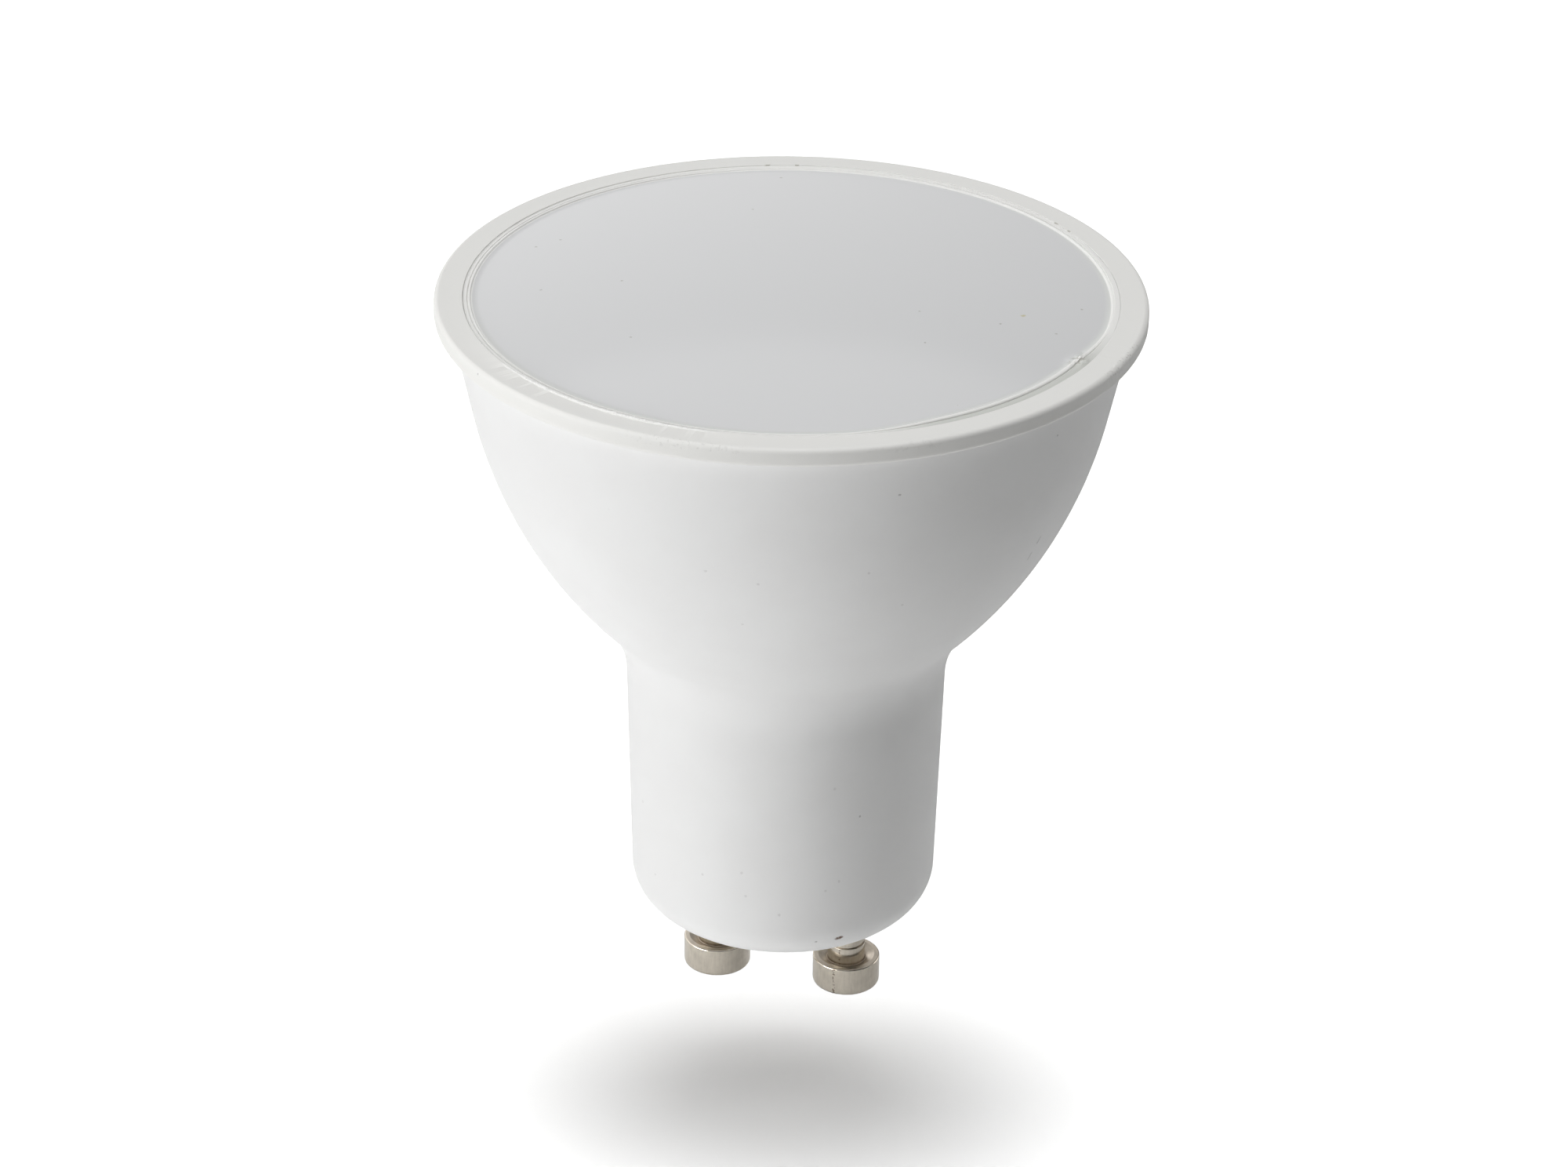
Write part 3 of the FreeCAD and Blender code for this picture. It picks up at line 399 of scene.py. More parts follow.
def rounded(corners, turn=math.radians(10)):
    """A closed section from (across, up, round) corners. Short holds keep the flats flat."""
    points = []
    for i, (across, up, size) in enumerate(corners):
        corner = Vector((across, up))
        if not size:
            points.append(corner)
            continue
        back = (Vector(corners[i - 1][:2]) - corner).normalized()
        ahead = (Vector(corners[(i + 1) % len(corners)][:2]) - corner).normalized()
        half = back.angle(ahead) / 2
        reach = size / math.tan(half)
        centre = corner + (back + ahead).normalized() * (size / math.sin(half))
        start = angle_to(centre, corner + back * reach)
        sweep = (angle_to(centre, corner + ahead * reach) - start + math.pi) % math.tau - math.pi
        steps = max(2, math.ceil(abs(sweep) / turn))
        hold = 0.12 * size
        points.append(corner + back * (reach + hold))
        points += arc(centre, size, start, start + sweep, steps)
        points.append(corner + ahead * (reach + hold))
    return points


def wander(angle, waves, seed):
    """A smooth random number from -1 to 1 that closes round a circle."""
    return noise.noise(Vector((waves * math.cos(angle), waves * math.sin(angle), seed)))


def nearness(angle, middle, spread):
    """1 at a middle angle, falling to 0 some spread either side. The last two are in degrees."""
    apart = (math.degrees(angle) - middle + 180) % 360 - 180
    return math.exp(-(apart / spread) ** 2)


def ring_wear(angle, across, up):
    """The weld and the rubbing move the ring's inner and outer top edges a little."""
    if up > ring_top - 0.5 * MM:
        if across < opening_radius + 0.3 * MM:
            across += inner_waviness * wander(angle, 22, 3.1)
            if ring_top - 0.1 * MM < up < ring_top:
                up += (ring_top - up) * min(1, 1.5 * nearness(angle, *merged_side))
            if up > ring_top:
                welded = nearness(angle, weld_middle, 20) * max(0, 0.9 + 0.9 * wander(angle, 70, 7.7))
                up = ring_top + weld_lip * (0.02 + welded)
        elif across > rim_radius - 0.45 * MM:
            rubbed = max(share * nearness(angle, *side) for *side, share in rubbed_places)
            depth = edge_waviness + rub_depth * rubbed
            across -= depth * abs(wander(angle, 90, 1.3))
            up -= depth * abs(wander(angle, 110, 5.2))
    return across, up


def ring_surface(nodes):
    place = nodes.place()
    across, up, angle = place.about_axis()
    satin = place.grain(8000, 3.0)
    patchy = place.grain(2600, 4.0)
    outer_edge = across.rise(rim_radius - 0.5 * MM, rim_radius - 0.25 * MM) * up.rise(
        ring_top - 0.7 * MM, ring_top - 0.35 * MM)
    rubbed = 0.0
    for middle, spread, share in rubbed_places:
        rubbed = rubbed + share * angle.sector(middle, 0.5 * spread, spread)
    scuffs = outer_edge * rubbed * patchy.rise(0.56, 0.66)
    broken = nodes.join(angle * 0.02, 0.0, 0.0).grain(9000, 3.0)
    # The weld's raised line, painted near-white as a highlight and made glossier.
    weld_highlight_line = across.band(opening_radius + 0.05 * MM, 0.07 * MM, 0.05 * MM) * up.above(ring_top - 0.2 * MM)
    weld_highlight_line = weld_highlight_line * angle.sector(weld_middle, weld_half, 6) * broken.rise(0.38, 0.46)
    dirt = 0.0
    for middle, spread in joint_dirt:
        dirt = dirt + angle.sector(middle, 0.3 * spread, 0.3 * spread)
    dirt = dirt * across.band(opening_radius, 0.08 * MM, 0.06 * MM) * patchy.rise(0.42, 0.5)
    marks = place.specks(1.3 * MM, 0.06 * MM, 0.03) + place.marks(in_mm(ring_marks), ring_mark_size)
    pitted = outer_edge * rubbed * place.grain(4200, 2.0).rise(0.58, 0.64)
    colour = (0.85 * scuffs).tint(ring_colour, rubbed_colour)
    colour = (0.35 * pitted).tint(colour, speck_colour)
    colour = weld_highlight_line.tint(colour, weld_highlight_colour)
    colour = (0.6 * dirt).tint(colour, dirt_and_shade_colour)
    return principled(
        nodes,
        Base_Color=(0.5 * marks).tint(colour, speck_colour),
        Roughness=0.62 + 0.08 * satin - 0.35 * weld_highlight_line,
        Normal=scuffs.bump(0.015 * MM, satin.bump(0.0012 * MM)),
    )


mouth_inside = mouth_radius - wall / math.cos(mouth_draft)
spigot_top = mouth_inside - spigot_clearance
spigot_foot = spigot_top - spigot_length * math.tan(mouth_draft)
ring = lathe("front_ring_moulding", rounded([
    (spigot_top, seat_up, 0),
    (rim_radius, seat_up, ring_foot_round),
    (rim_radius, ring_top, ring_top_round),
    (opening_radius + 0.2 * MM, ring_top, 0),
    (opening_radius + 0.13 * MM, ring_top + weld_lip, 0),
    (opening_radius + 0.03 * MM, ring_top + weld_lip, 0),
    (opening_radius, ring_top - ring_inner_round, 0),
    (opening_radius, diffuser_seat, 0),
    (spigot_foot - spigot_wall, diffuser_seat, 0),
    (spigot_foot - spigot_wall, seat_up - spigot_length, 0),
    (spigot_foot, seat_up - spigot_length, 0),
]), segments=1200, warp=ring_wear)
ring.data.materials.append(material_of("ring_white", ring_surface))
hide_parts("front_ring")
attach(ring, "root")

# Diffuser. A milky polycarbonate disc, crowned and glossy, with a double bead at its edge. It is
# welded into the front ring, open a hair on the left. In front the bead ran inward, left a groove
# beside the ring and a small blob of flash. A little dust lies on the disc. The groove, dark lines
# on the flash and the disc's border on the front right are painted darker as shade.
diffuser_radius = opening_radius - 0.1 * MM
bead_width = 0.42 * MM
bead_nick = 0.09 * MM
band_width = 0.1 * MM
band_drop = 0.08 * MM
crown_radius = diffuser_radius - bead_width - band_width
crown_edge = ring_top - 0.15 * MM
crown_rise = 0.67 * MM
closed_gap = 0.085 * MM
closed_lift = 0.04 * MM
swell_width = 0.52 * MM
groove_drop = 0.07 * MM
flash_radius = 22.55 * MM
flash_half_width = 0.5 * MM
flash_height = 0.3 * MM
# Sides of the disc in degrees: a middle and a spread, or a middle, a half width and a soft step.
open_sides = [(178, 62, 0.05), (-46, 24, 0.3)]
shaded_side = (-50, 80, 50)
swell_side = (-32, 14, 20)
flash_side = -13.8
flash_spread = 2.2
diffuser_colour = (0.672, 0.677, 0.684, 1)
diffuser_second = (0.66, 0.665, 0.667, 1)
bead_colour = (0.842, 0.84, 0.818, 1)
border_shade_colour = (0.635, 0.65, 0.628, 1)
groove_shade_colour = (0.59, 0.60, 0.565, 1)
dust_colour = (0.34, 0.33, 0.29, 1)
crumb_colour = (0.52, 0.47, 0.22, 1)
dust_size = 0.13 * MM
crumb_size = 0.22 * MM
# Where dust and a crumb lie on the disc, in millimetres.
dust_places = [
    (-5.92, 19.85), (-6.24, 12.91), (9.51, -1.42), (10.99, -6.14), (20.09, 2.95), (15.24, -1.47),
    (19.20, -1.63), (-19.47, 2.60), (-18.13, 4.17), (-11.76, -2.06), (-8.60, -10.79), (-16.87, -4.68),
]
crumb_place = (16.46, 0.35)
ball_radius = (crown_radius ** 2 + crown_rise ** 2) / (2 * crown_rise)
ball_centre = Vector((0, 0, crown_edge + crown_rise - ball_radius))


def on_crown(spot):
    """The place on the crown over a spot given in millimetres."""
    flat = Vector((*spot, 0)) * MM
    return flat + ball_centre + Vector((0, 0, math.sqrt(ball_radius ** 2 - flat.length_squared)))


def diffuser_section():
    """Flat underside, two beads with a nick between, the band, then the crown to the axis."""
    inner = diffuser_radius - bead_width
    middle = diffuser_radius - 0.55 * bead_width
    section = rounded([
        (0, diffuser_seat, 0),
        (diffuser_radius, diffuser_seat, 0.05 * MM),
        (diffuser_radius, bead_top, 0.08 * MM),
        (middle + 0.03 * MM, bead_top, 0.07 * MM),
        (middle, bead_top - bead_nick, 0),
        (middle - 0.03 * MM, bead_top, 0.07 * MM),
        (inner, bead_top, 0.06 * MM),
        (inner - 0.05 * MM, bead_top - band_drop, 0.05 * MM),
        (crown_radius, crown_edge, 0),
    ])[:-1]
    centre = ball_centre.yz
    edge = angle_to(centre, Vector((crown_radius, crown_edge)))
    return section + arc(centre, ball_radius, edge, math.pi / 2, 44)


def swelling(angle):
    """How far the bead ran inward at an angle, from 0 to 1, as the surface's band gives it."""
    middle, half, soft = swell_side
    apart = abs((math.degrees(angle) - middle + 180) % 360 - 180)
    fade = min(1, max(0, (apart - half) / soft))
    return 1 - fade * fade * (3 - 2 * fade)


def diffuser_weld(angle, across, up):
    """The bead meets the ring but on its open side. In front it leaves a groove and a blob of flash."""
    bead_top_edge = up > bead_top - 0.2 * MM
    inner = diffuser_radius - bead_width
    share = (across / inner) ** 4 if across < inner else 1 - ((across - inner) / bead_width) ** 2
    inward = swell_width * swelling(angle) * share if bead_top_edge else 0
    if bead_top_edge and across > diffuser_radius - 0.02 * MM:
        closed = 1 - max(part * nearness(angle, *side) for *side, part in open_sides)
        across += closed_gap * closed
        up += closed_lift * closed
    if bead_top_edge and across > diffuser_radius - 0.65 * bead_width:
        up += (bead_top + closed_lift - up) * min(1, 1.5 * nearness(angle, *merged_side))
    if bead_top_edge and across > diffuser_radius - 0.56 * bead_width:
        up -= groove_drop * swelling(angle)
    off_flash = abs(across - flash_radius)
    if off_flash < flash_half_width and up > crown_edge - 0.2 * MM:
        lump = nearness(angle, flash_side, flash_spread) * (1 - off_flash / flash_half_width)
        up += flash_height * lump * max(0, 0.5 + 1.2 * wander(angle, 160, across / MM * 5))
    return across - inward, up


def diffuser_surface(nodes):
    place = nodes.place()
    across, _, angle = place.about_axis()
    swell = angle.sector(*swell_side)
    reach = across + swell_width * swell
    # Painted shade: the disc greyer towards its edge by the ring, on the front right.
    painted_border_shade = reach.rise(crown_radius - 0.6 * MM, crown_radius - 0.05 * MM)
    painted_border_shade = painted_border_shade * angle.sector(*shaded_side)
    bead = reach.rise(crown_radius - 0.1 * MM, crown_radius + 0.02 * MM)
    # Painted shade: the groove beside the ring is painted darker.
    groove = swell * (across + 0.8 * swell_width * swell).rise(
        diffuser_radius - 0.6 * bead_width, diffuser_radius - 0.5 * bead_width)
    cloudy = place.grain(60, 2.0)
    dust = place.specks(1.9 * MM, 0.06 * MM, 0.04)
    dust = dust + place.marks([on_crown(spot) for spot in dust_places], dust_size)
    crumb = place.marks([on_crown(crumb_place)], crumb_size)
    colour = (0.25 * cloudy).tint(diffuser_colour, diffuser_second)
    colour = painted_border_shade.tint(colour, border_shade_colour)
    colour = bead.tint(colour, bead_colour)
    colour = groove.tint(colour, groove_shade_colour)
    turn = math.radians(flash_side)
    flash_reach = flash_radius - swell_width * swelling(turn)
    flash_middle = (flash_reach * math.cos(turn), flash_reach * math.sin(turn), crown_edge)
    lump = 1 - place.vector("DISTANCE", place, flash_middle, output=1).rise(0.5 * MM, 0.9 * MM)
    # Dark lines painted on the flash blob as the shade along its edges.
    colour = (0.6 * lump * place.grain(1800, 1.0).band(0.5, 0.015, 0.03)).tint(colour, dirt_and_shade_colour)
    colour = (0.55 * dust).tint(colour, dust_colour)
    return principled(
        nodes,
        Base_Color=(0.7 * crumb).tint(colour, crumb_colour),
        Roughness=0.09 + 0.04 * place.grain(700, 3.0) + 0.2 * bead,
        Normal=place.grain(2500, 2.0).bump(0.0004 * MM),
    )


diffuser = lathe("diffuser_disc", diffuser_section(), segments=720, warp=diffuser_weld)
diffuser.data.materials.append(material_of("diffuser_milky", diffuser_surface))
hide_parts("diffuser")
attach(diffuser, "root")

# Cap pins. Two turned brass studs with a dull nickel plate, pushed through the base and staked
# over inside. The lathe left rings on their faces and the plating barrel fine upright scratches.
# Their flat faces and the corner where each head's dish meets the shank are painted darker as shade.
pin_low_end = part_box("contact_pin_left")[0].z
head_radius = 2.5 * MM
head_height = 2.3 * MM
head_foot_round = 0.3 * MM
head_top_round = 0.14 * MM
head_land = 0.4 * MM
head_dish = 0.35 * MM
shank_radius = 1.4 * MM
shank_groove_drop = 3.35 * MM
shank_groove_width = 0.25 * MM
shank_groove_depth = 0.12 * MM
collar_radius = 1.8 * MM
collar_height = 0.4 * MM
stake_radius = 2.1 * MM
stake_up = 3.5 * MM
pin_bore = 0.65 * MM
pin_bore_foot = 0.9 * MM
seam_angles = {"contact_pin_left": 1.6, "contact_pin_right": -1.705}
nickel_colour = (0.78, 0.72, 0.618, 1)
nickel_tarnish_and_shade = (0.42, 0.37, 0.31, 1)
seam_and_shade_colour = (0.22, 0.16, 0.11, 1)


def pin_section():
    head_top = pin_low_end + head_height
    land = head_radius - head_land
    groove = shank_radius - shank_groove_depth
    return rounded([
        (0, pin_low_end, 0),
        (head_radius, pin_low_end, head_foot_round),
        (head_radius, head_top, head_top_round),
        (land, head_top, 0.06 * MM),
        (shank_radius, head_top - head_dish, 0.08 * MM),
        (shank_radius, -shank_groove_drop - shank_groove_width, 0.03 * MM),
        (groove, -shank_groove_drop - shank_groove_width, 0),
        (groove, -shank_groove_drop, 0),
        (shank_radius, -shank_groove_drop, 0.03 * MM),
        (shank_radius, -collar_height, 0),
        (collar_radius, -collar_height, 0.06 * MM),
        (collar_radius, -0.005 * MM, 0),
        (shank_radius, -0.005 * MM, 0),
        (shank_radius, base_floor, 0),
        (stake_radius, base_floor, 0),
        (stake_radius, stake_up, 0.1 * MM),
        (pin_bore, stake_up, 0.05 * MM),
        (pin_bore, pin_bore_foot, 0),
        (0, pin_bore_foot, 0),
    ])


def pin_surface(centre, seam_angle):
    """The plated surface of the pin on a centre, with the mould's parting seam at an angle."""
    def make(nodes):
        place = nodes.place()
        place = place.vector("SUBTRACT", place, (centre.x, centre.y, 0))
        across, up, angle = place.about_axis()
        facing = nodes.add("ShaderNodeNewGeometry", {}, {}, "Normal").split()[2]
        flat = abs(facing).rise(0.5, 0.8)
        scratch = nodes.join(angle * head_radius, up * 0.15, 0.0).grain(5000, 4.0)
        turning = nodes.join(across, 0.0, 0.0).grain(14000, 2.0)
        worked = flat.add("ShaderNodeMix", {}, {0: flat, 2: scratch, 3: turning})
        cloudy = place.grain(1600, 5.0)
        pits = place.specks(0.45 * MM, 0.04 * MM, 0.12)
        dotted = place.grain(7500, 1.0).rise(0.46, 0.6)
        seam = ((angle - seam_angle) * head_radius).band(0.0, 0.06 * MM, 0.09 * MM) * dotted * (1 - flat)
        # Painted shade in the corner where the head's dish meets the shank.
        painted_junction_shade = ((across - shank_radius).rise(0.25 * MM, 0.05 * MM)) * up.band(
            pin_low_end + head_height - head_dish, 0.15 * MM, 0.2 * MM)
        # Cloudy and worked tarnish, and the flat faces painted darker (0.7 * flat) as shade and dark
        # reflection.
        tarnish = 0.22 * cloudy.rise(0.3, 0.75) + 0.17 * worked.rise(0.4, 0.7) + 0.7 * flat
        colour = tarnish.tint(nickel_colour, nickel_tarnish_and_shade)
        colour = (0.85 * seam + 0.6 * painted_junction_shade).tint(colour, seam_and_shade_colour)
        height = worked * 0.3 + cloudy * 0.4 - pits * 0.8 - seam * 1.2
        return principled(
            nodes,
            Base_Color=(0.5 * pits).tint(colour, nickel_tarnish_and_shade),
            Metallic=1.0,
            Roughness=0.1 + 0.08 * cloudy + 0.2 * flat,
            Normal=height.bump(0.0018 * MM),
        )
    return make


for pin, pin_centre in pin_centres.items():
    stud = lathe(pin + "_turned", pin_section(), centre=pin_centre, segments=192)
    stud.data.materials.append(material_of(pin + "_nickel", pin_surface(pin_centre, seam_angles[pin])))
    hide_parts(pin)
    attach(stud, "root")

# Heat sink. A deep-drawn aluminium cup pressed into the bowl, which carries the diode board on
# two screws. Both the cup and the board's white lacquer show only when the front is off.
aluminium_colour = (0.77, 0.78, 0.79, 1)
aluminium_dark = (0.60, 0.61, 0.62, 1)
lacquer_colour = (0.86, 0.86, 0.85, 1)
track_colour = (0.78, 0.79, 0.77, 1)
steel_colour = (0.62, 0.62, 0.63, 1)
steel_dark = (0.42, 0.42, 0.43, 1)
phosphor_colour = (0.93, 0.74, 0.22, 1)
phosphor_radius = 1.1 * MM


def dress(node, name, make):
    """Give a solid of the frame a material of its own."""
    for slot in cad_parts[node].material_slots:
        slot.material = material_of(name, make)


def metal_surface(colour, dark, stretch, roughness):
    """Bare metal whose working marks are stretched along each axis by a share."""
    def make(nodes):
        place = nodes.place()
        lines = place.vector("MULTIPLY", place, stretch).grain(6000, 3.0)
        cloudy = place.grain(400, 3.0)
        tarnish = 0.5 * lines.rise(0.35, 0.7) + 0.4 * cloudy.rise(0.4, 0.7)
        return principled(
            nodes,
            Base_Color=tarnish.tint(colour, dark),
            Metallic=1.0,
            Roughness=roughness + 0.15 * cloudy,
            Normal=lines.bump(0.003 * MM),
        )
    return make


def led_board_surface(nodes):
    place = nodes.place()
    tracks = place.grain(260, 0.0).band(0.5, 0.03, 0.01)
    lacquer = place.grain(4000, 3.0)
    return principled(
        nodes,
        Base_Color=tracks.tint(lacquer_colour, track_colour),
        Roughness=0.35 + 0.15 * lacquer,
        Normal=tracks.bump(0.03 * MM, lacquer.bump(0.002 * MM)),
    )


def led_surface(centre):
    """A white package with a round window of yellow phosphor in its middle."""
    def make(nodes):
        place = nodes.place()
        flat = place.vector("MULTIPLY", place, (1, 1, 0))
        away = flat.vector("DISTANCE", flat, (centre.x, centre.y, 0), output=1)
        window = 1 - away.rise(phosphor_radius - 0.04 * MM, phosphor_radius)
        grains = place.grain(30000, 2.0)
        return principled(
            nodes,
            Base_Color=window.tint(lacquer_colour, phosphor_colour),
            Roughness=0.45 + 0.2 * grains * window,
            Normal=(grains * window).bump(0.01 * MM),
        )
    return make


dress("heat_sink", "cup_aluminium", metal_surface(aluminium_colour, aluminium_dark, (1, 1, 0.05), 0.3))
dress("led_board", "led_board_white", led_board_surface)
for screw in ("board_screw_front", "board_screw_back"):
    dress(screw, screw + "_steel", metal_surface(steel_colour, steel_dark, (1, 1, 1), 0.25))
for number in range(1, 9):
    led = "led_" + str(number)
    led_low, led_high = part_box(led)
    dress(led, led + "_package", led_surface((led_low + led_high) / 2))

# Driver. A green board stands in the neck with the mains parts on one face and the small chips on
# the other. Their wires run down to the pins and up through the cup to the diodes.
board_colour = (0.055, 0.22, 0.10, 1)
board_track_colour = (0.09, 0.33, 0.15, 1)
tin_colour = (0.72, 0.72, 0.70, 1)
copper_shade_between_turns = (0.36, 0.13, 0.05, 1)
copper_highlight_on_turns = (0.72, 0.34, 0.16, 1)
wire_pitch = 0.16 * MM
sleeve_colour = (0.05, 0.06, 0.08, 1)
stripe_colour = (0.55, 0.57, 0.58, 1)
stripe_side = -math.pi / 2
film_black = (0.05, 0.05, 0.055, 1)
chip_black = (0.035, 0.035, 0.04, 1)
chip_worn = (0.05, 0.05, 0.055, 1)


def board_surface(nodes):
    place = nodes.place()
    x, _, up = place.split()
    tracks = place.grain(420, 0.0).band(0.5, 0.035, 0.01)
    weave = nodes.join(x, up, 0.0).grain(5000, 2.0)
    return principled(
        nodes,
        Base_Color=tracks.tint(board_colour, board_track_colour),
        Roughness=0.3 + 0.2 * weave,
        Normal=tracks.bump(0.03 * MM, weave.bump(0.004 * MM)),
    )


def moulded_surface(colour, second, roughness, relief):
    """A moulded, dipped or sintered part in a colour mottled with a second one."""
    def make(nodes):
        place = nodes.place()
        mottle = place.grain(1500, 4.0)
        fine = place.grain(12000, 3.0)
        return principled(
            nodes,
            Base_Color=mottle.rise(0.35, 0.7).tint(colour, second),
            Roughness=roughness + 0.15 * fine,
            Normal=(mottle + fine).bump(relief),
        )
    return make


def winding_surface(nodes):
    place = nodes.place()
    up = place.split()[2]
    turns = up.maths("SINE", up * (math.tau / wire_pitch))
    enamel = place.grain(3000, 3.0)
    # Each turn of wire is painted bright on its crest and dark between turns, as painted highlight and
    # shade.
    return principled(
        nodes,
        Base_Color=(0.5 + 0.5 * turns).tint(copper_shade_between_turns, copper_highlight_on_turns),
        Metallic=0.7,
        Roughness=0.25 + 0.15 * enamel,
        Normal=turns.bump(0.03 * MM),
    )


def can_surface(top):
    """A shrink-sleeved capacitor: bare metal on its end, a pale stripe down the sleeve."""
    def make(nodes):
        place = nodes.place()
        up = place.split()[2]
        facing = nodes.add("ShaderNodeNewGeometry", {}, {}, "Normal")
        sideways = facing.along((math.cos(stripe_side), math.sin(stripe_side), 0))
        end = up.above(top - 0.05 * MM)
        fine = place.grain(5000, 3.0)
        wrapped = sideways.rise(0.93, 0.95).tint(sleeve_colour, stripe_colour)
        return principled(
            nodes,
            Base_Color=end.tint(wrapped, aluminium_colour),
            Metallic=end,
            Roughness=0.25 + 0.15 * fine,
            Normal=fine.bump(0.004 * MM),
        )
    return make


def chip_resistor_surface(low, high):
    """Black film between two corners of its box, with tinned ends on the longest way."""
    size = high - low
    way = max(range(3), key=lambda axis: size[axis])

    def make(nodes):
        place = nodes.place()
        tin = abs(place.split()[way] - (low[way] + high[way]) / 2).above(0.31 * size[way])
        fine = place.grain(9000, 3.0)
        return principled(
            nodes,
            Base_Color=tin.tint(film_black, tin_colour),
            Metallic=tin,
            Roughness=0.35 + 0.2 * fine,
            Normal=fine.bump(0.006 * MM),
        )
    return make


dress("driver_board", "circuit_board_green", board_surface)
coatings = {
    "fuse_resistor": ("resistor_enamel", (0.20, 0.36, 0.25, 1), (0.16, 0.30, 0.21, 1), 0.4, 0.01 * MM),
    "film_capacitor": ("capacitor_red", (0.48, 0.08, 0.06, 1), (0.40, 0.06, 0.05, 1), 0.18, 0.012 * MM),
    "choke_core": ("ferrite", (0.09, 0.09, 0.10, 1), (0.13, 0.13, 0.14, 1), 0.55, 0.01 * MM),
}
for part, (coating, *look) in coatings.items():
    dress(part, coating, moulded_surface(*look))
dress("choke_winding", "copper_winding", winding_surface)
for can in ("filter_capacitor", "output_capacitor"):
    dress(can, can + "_sleeve", can_surface(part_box(can)[1].z))
for chip in ("bridge_rectifier", "driver_chip", "output_diode"):
    dress(chip, chip + "_black", moulded_surface(chip_black, chip_worn, 0.5, 0.008 * MM))
for resistor in ("sense_resistor_1", "sense_resistor_2", "start_resistor"):
    dress(resistor, resistor + "_film", chip_resistor_surface(*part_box(resistor)))
white_insulation = ((0.80, 0.80, 0.78, 1), (0.74, 0.74, 0.72, 1))
wire_colours = {
    "input_wire_left": white_insulation,
    "input_wire_right": white_insulation,
    "output_wire_positive": ((0.55, 0.04, 0.035, 1), (0.47, 0.035, 0.03, 1)),
    "output_wire_negative": ((0.03, 0.03, 0.035, 1), (0.045, 0.045, 0.05, 1)),
}
for wire, (insulation, worn) in wire_colours.items():
    dress(wire, wire + "_sleeve", moulded_surface(insulation, worn, 0.45, 0.01 * MM))

# Floor. A large pale sheet some way under the hanging lamp, open from below. It is white to the
# eye round the lamp's soft shadow and painted greyer towards the shadow's middle, as painted shadow.
# The light that it throws back is painted stronger right under the lamp and weaker on the right,
# and what the pins mirror of it is brighter on the left.
floor_drop = 15.8 * MM
view_turn = math.radians(14.11)
floor_size = 4.0
floor_bounce = (1.04, 0.78)
floor_painted_bounce_below = 1.8
floor_mirrored = (1.2, 0.68)
floor_white_and_painted_shadow = (1.5, 2.08)
shadow_forward = 5 * MM


def grey(level):
    return (level, level, level, 1)


def floor_surface(nodes):
    place = nodes.place()
    across = place.about_axis()[0]
    rightward = place.along((math.cos(view_turn), math.sin(view_turn), 0))
    forward = place.along((math.sin(view_turn), -math.cos(view_turn), 0))
    spread = nodes.join(rightward * 0.6, forward - shadow_forward, 0.0)
    beside = spread.vector("LENGTH", spread, output=1).rise(2 * MM, 19 * MM)
    seen = nodes.add("ShaderNodeLightPath", {}, {}, "Is Camera Ray")
    under = nodes.add("ShaderNodeNewGeometry", {}, {}, "Backfacing")
    left, right = floor_bounce
    aside = rightward.rise(-80 * MM, 80 * MM).tint(grey(left), grey(right))
    # Painted light: the paper throws back more light right under the lamp, onto the lamp's base.
    bounced = across.rise(15 * MM, 60 * MM).tint(grey(floor_painted_bounce_below), aside)
    left, right = floor_mirrored
    mirrored = rightward.rise(-15 * MM, 35 * MM).tint(grey(left), grey(right))
    paper = seen.other("Is Glossy Ray").tint(bounced, mirrored)
    # Painted shadow: the paper greyer towards the middle of the lamp's shadow.
    middle, far = floor_white_and_painted_shadow
    paper_white_and_painted_shadow = beside.tint(grey(middle), grey(far))
    paper = seen.tint(paper, paper_white_and_painted_shadow)
    top = nodes.add("ShaderNodeBsdfDiffuse", {}, {"Color": paper})
    clear = nodes.add("ShaderNodeBsdfTransparent", {}, {})
    return nodes.add("ShaderNodeMixShader", {}, {0: under, 1: top, 2: clear})


sheet = bpy.data.meshes.new("floor_sheet")
half = floor_size / 2
corners = [(-half, -half, 0), (half, -half, 0), (half, half, 0), (-half, half, 0)]
sheet.from_pydata(corners, [], [(0, 1, 2, 3)])
floor = bpy.data.objects.new("floor_sheet", sheet)
floor.location.z = -floor_drop
bpy.context.scene.collection.objects.link(floor)
sheet.materials.append(material_of("floor_paper", floor_surface))

# Camera. A long lens that looks down on the front ring, turned so that the right pin is nearer.
lens_length = 108.6
camera_azimuth = view_turn
camera_elevation = math.radians(27.77)
camera_roll = math.radians(0.86)
camera_distance = 353.49 * MM
aim_right = 0.118 * MM
aim_up = 22.842 * MM

camera = bpy.data.objects.new("camera", bpy.data.cameras.new("camera"))
bpy.context.scene.collection.objects.link(camera)
bpy.context.scene.camera = camera
camera.data.lens = lens_length
camera.data.sensor_width = 36
camera.data.clip_start = 0.01


def toward(azimuth, elevation):
    """The direction of a place round the lamp: azimuth from the camera's side, to its right."""
    turn = camera_azimuth + azimuth
    level = math.cos(elevation)
    return Vector((math.sin(turn) * level, -math.cos(turn) * level, math.sin(elevation)))


view_back = toward(0, camera_elevation)
camera.rotation_mode = "QUATERNION"
camera.rotation_quaternion = view_back.to_track_quat("Z", "Y") @ Quaternion((0, 0, 1), camera_roll)
sideways = camera.rotation_quaternion @ Vector((1, 0, 0))
upwards = camera.rotation_quaternion @ Vector((0, 1, 0))
camera.location = sideways * aim_right + upwards * aim_up + view_back * camera_distance

# Lights. A large soft box at lamp height on the left, a small and a long one overhead that cast
# the floor's shadow, and a strip behind on the right. A round panel behind shows only as gloss on
# the diffuser. The room that the pins mirror is white, brighter on the left and dark in front.
lamp_middle = Vector((0, 0, 28 * MM))
light_distance = 0.6
room_light = 0.004
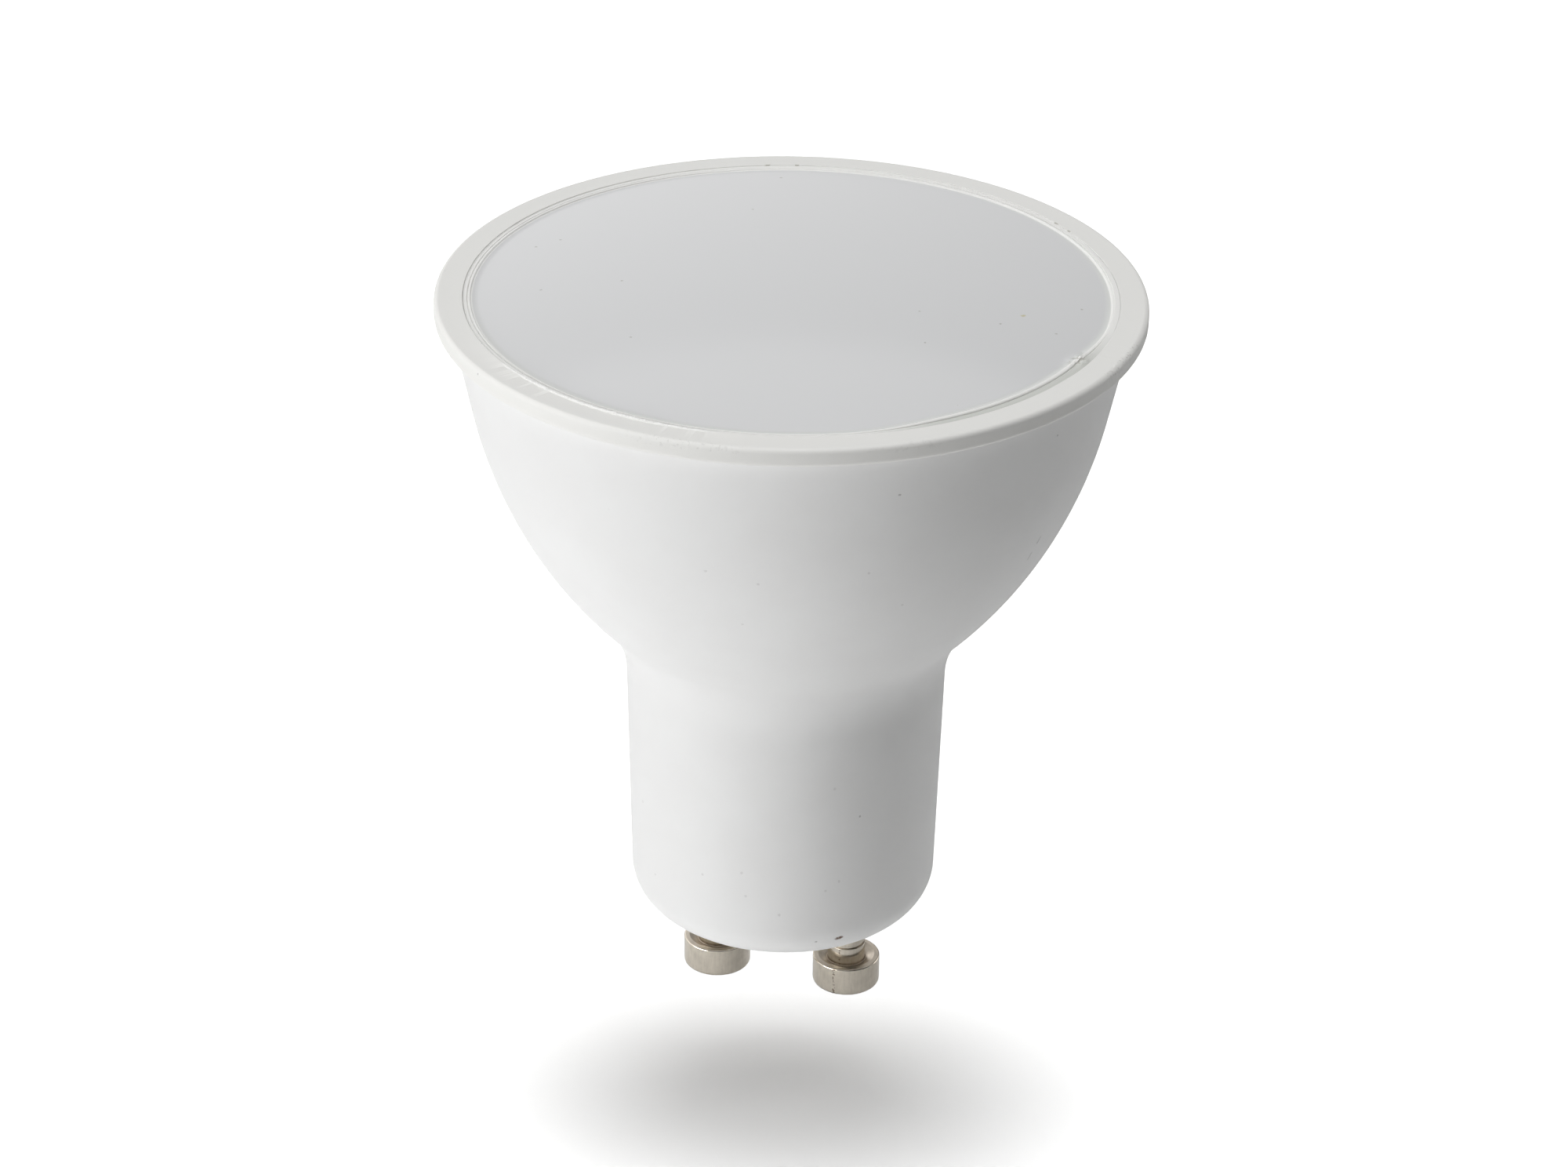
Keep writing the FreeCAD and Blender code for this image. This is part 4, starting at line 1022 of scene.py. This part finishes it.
# Each soft box: its way from the lamp, its half width and half height in degrees, how bright it is,
# and whether dull surfaces see it.
soft_boxes = [
    ("left_key", -56, 9, 26, 7, 10.2, True),
    ("overhead", 180, 87, 18, 20, 4.5, True),
    ("overhead_long", 180, 87, 49.8, 25, 0.95, True),
    ("right_rim", 120, 4, 20, 8, 2.2, True),
    ("back_round", 180, 40.4, 10.7, 10.7, 0.45, False),
]
for name, azimuth, elevation, half_width, half_height, radiance, lights_all in soft_boxes:
    box = bpy.data.objects.new(name, bpy.data.lights.new(name, "AREA"))
    bpy.context.scene.collection.objects.link(box)
    box.data.shape = "ELLIPSE"
    box.data.size = 2 * light_distance * math.tan(math.radians(half_width))
    box.data.size_y = 2 * light_distance * math.tan(math.radians(half_height))
    box.data.energy = radiance * math.pi ** 2 * box.data.size * box.data.size_y / 4
    box.visible_diffuse = lights_all
    level_turn = Quaternion((0, 0, 1), camera_azimuth + math.radians(azimuth))
    box.rotation_mode = "QUATERNION"
    box.rotation_quaternion = level_turn @ Quaternion((1, 0, 0), math.radians(90 - elevation))
    box.location = lamp_middle + box.rotation_quaternion @ Vector((0, 0, light_distance))

world = bpy.data.worlds.new("room")
bpy.context.scene.world = world
world.use_nodes = True
world.node_tree.nodes.clear()
room = Link(world.node_tree)
path = room.add("ShaderNodeLightPath", {}, {}, "Is Camera Ray")
direction = room.add("ShaderNodeTexCoord", {}, {}, "Generated")
above = direction.split()[2]
leftward = direction.along(toward(math.radians(-90), 0))
backdrop = (0.12 + 0.88 * above.rise(0.04, 0.2)) * (1.25 - 0.5 * above.rise(0.28, 0.62))
frontward = direction.along(toward(0, 0))
backdrop = backdrop * (1 - 0.85 * frontward.rise(0.0, 0.25))
mirrored = path.other("Is Glossy Ray") * backdrop * (0.4 + 1.2 * leftward.rise(-0.4, 0.4))
seen = path.maths("MAXIMUM", path.maths("MAXIMUM", path, mirrored), room_light)
glow = room.add("ShaderNodeBackground", {}, {"Color": room.join(seen, seen, seen)})
room.add("ShaderNodeOutputWorld", {}, {"Surface": glow})

bpy.context.scene.view_settings.view_transform = "Standard"
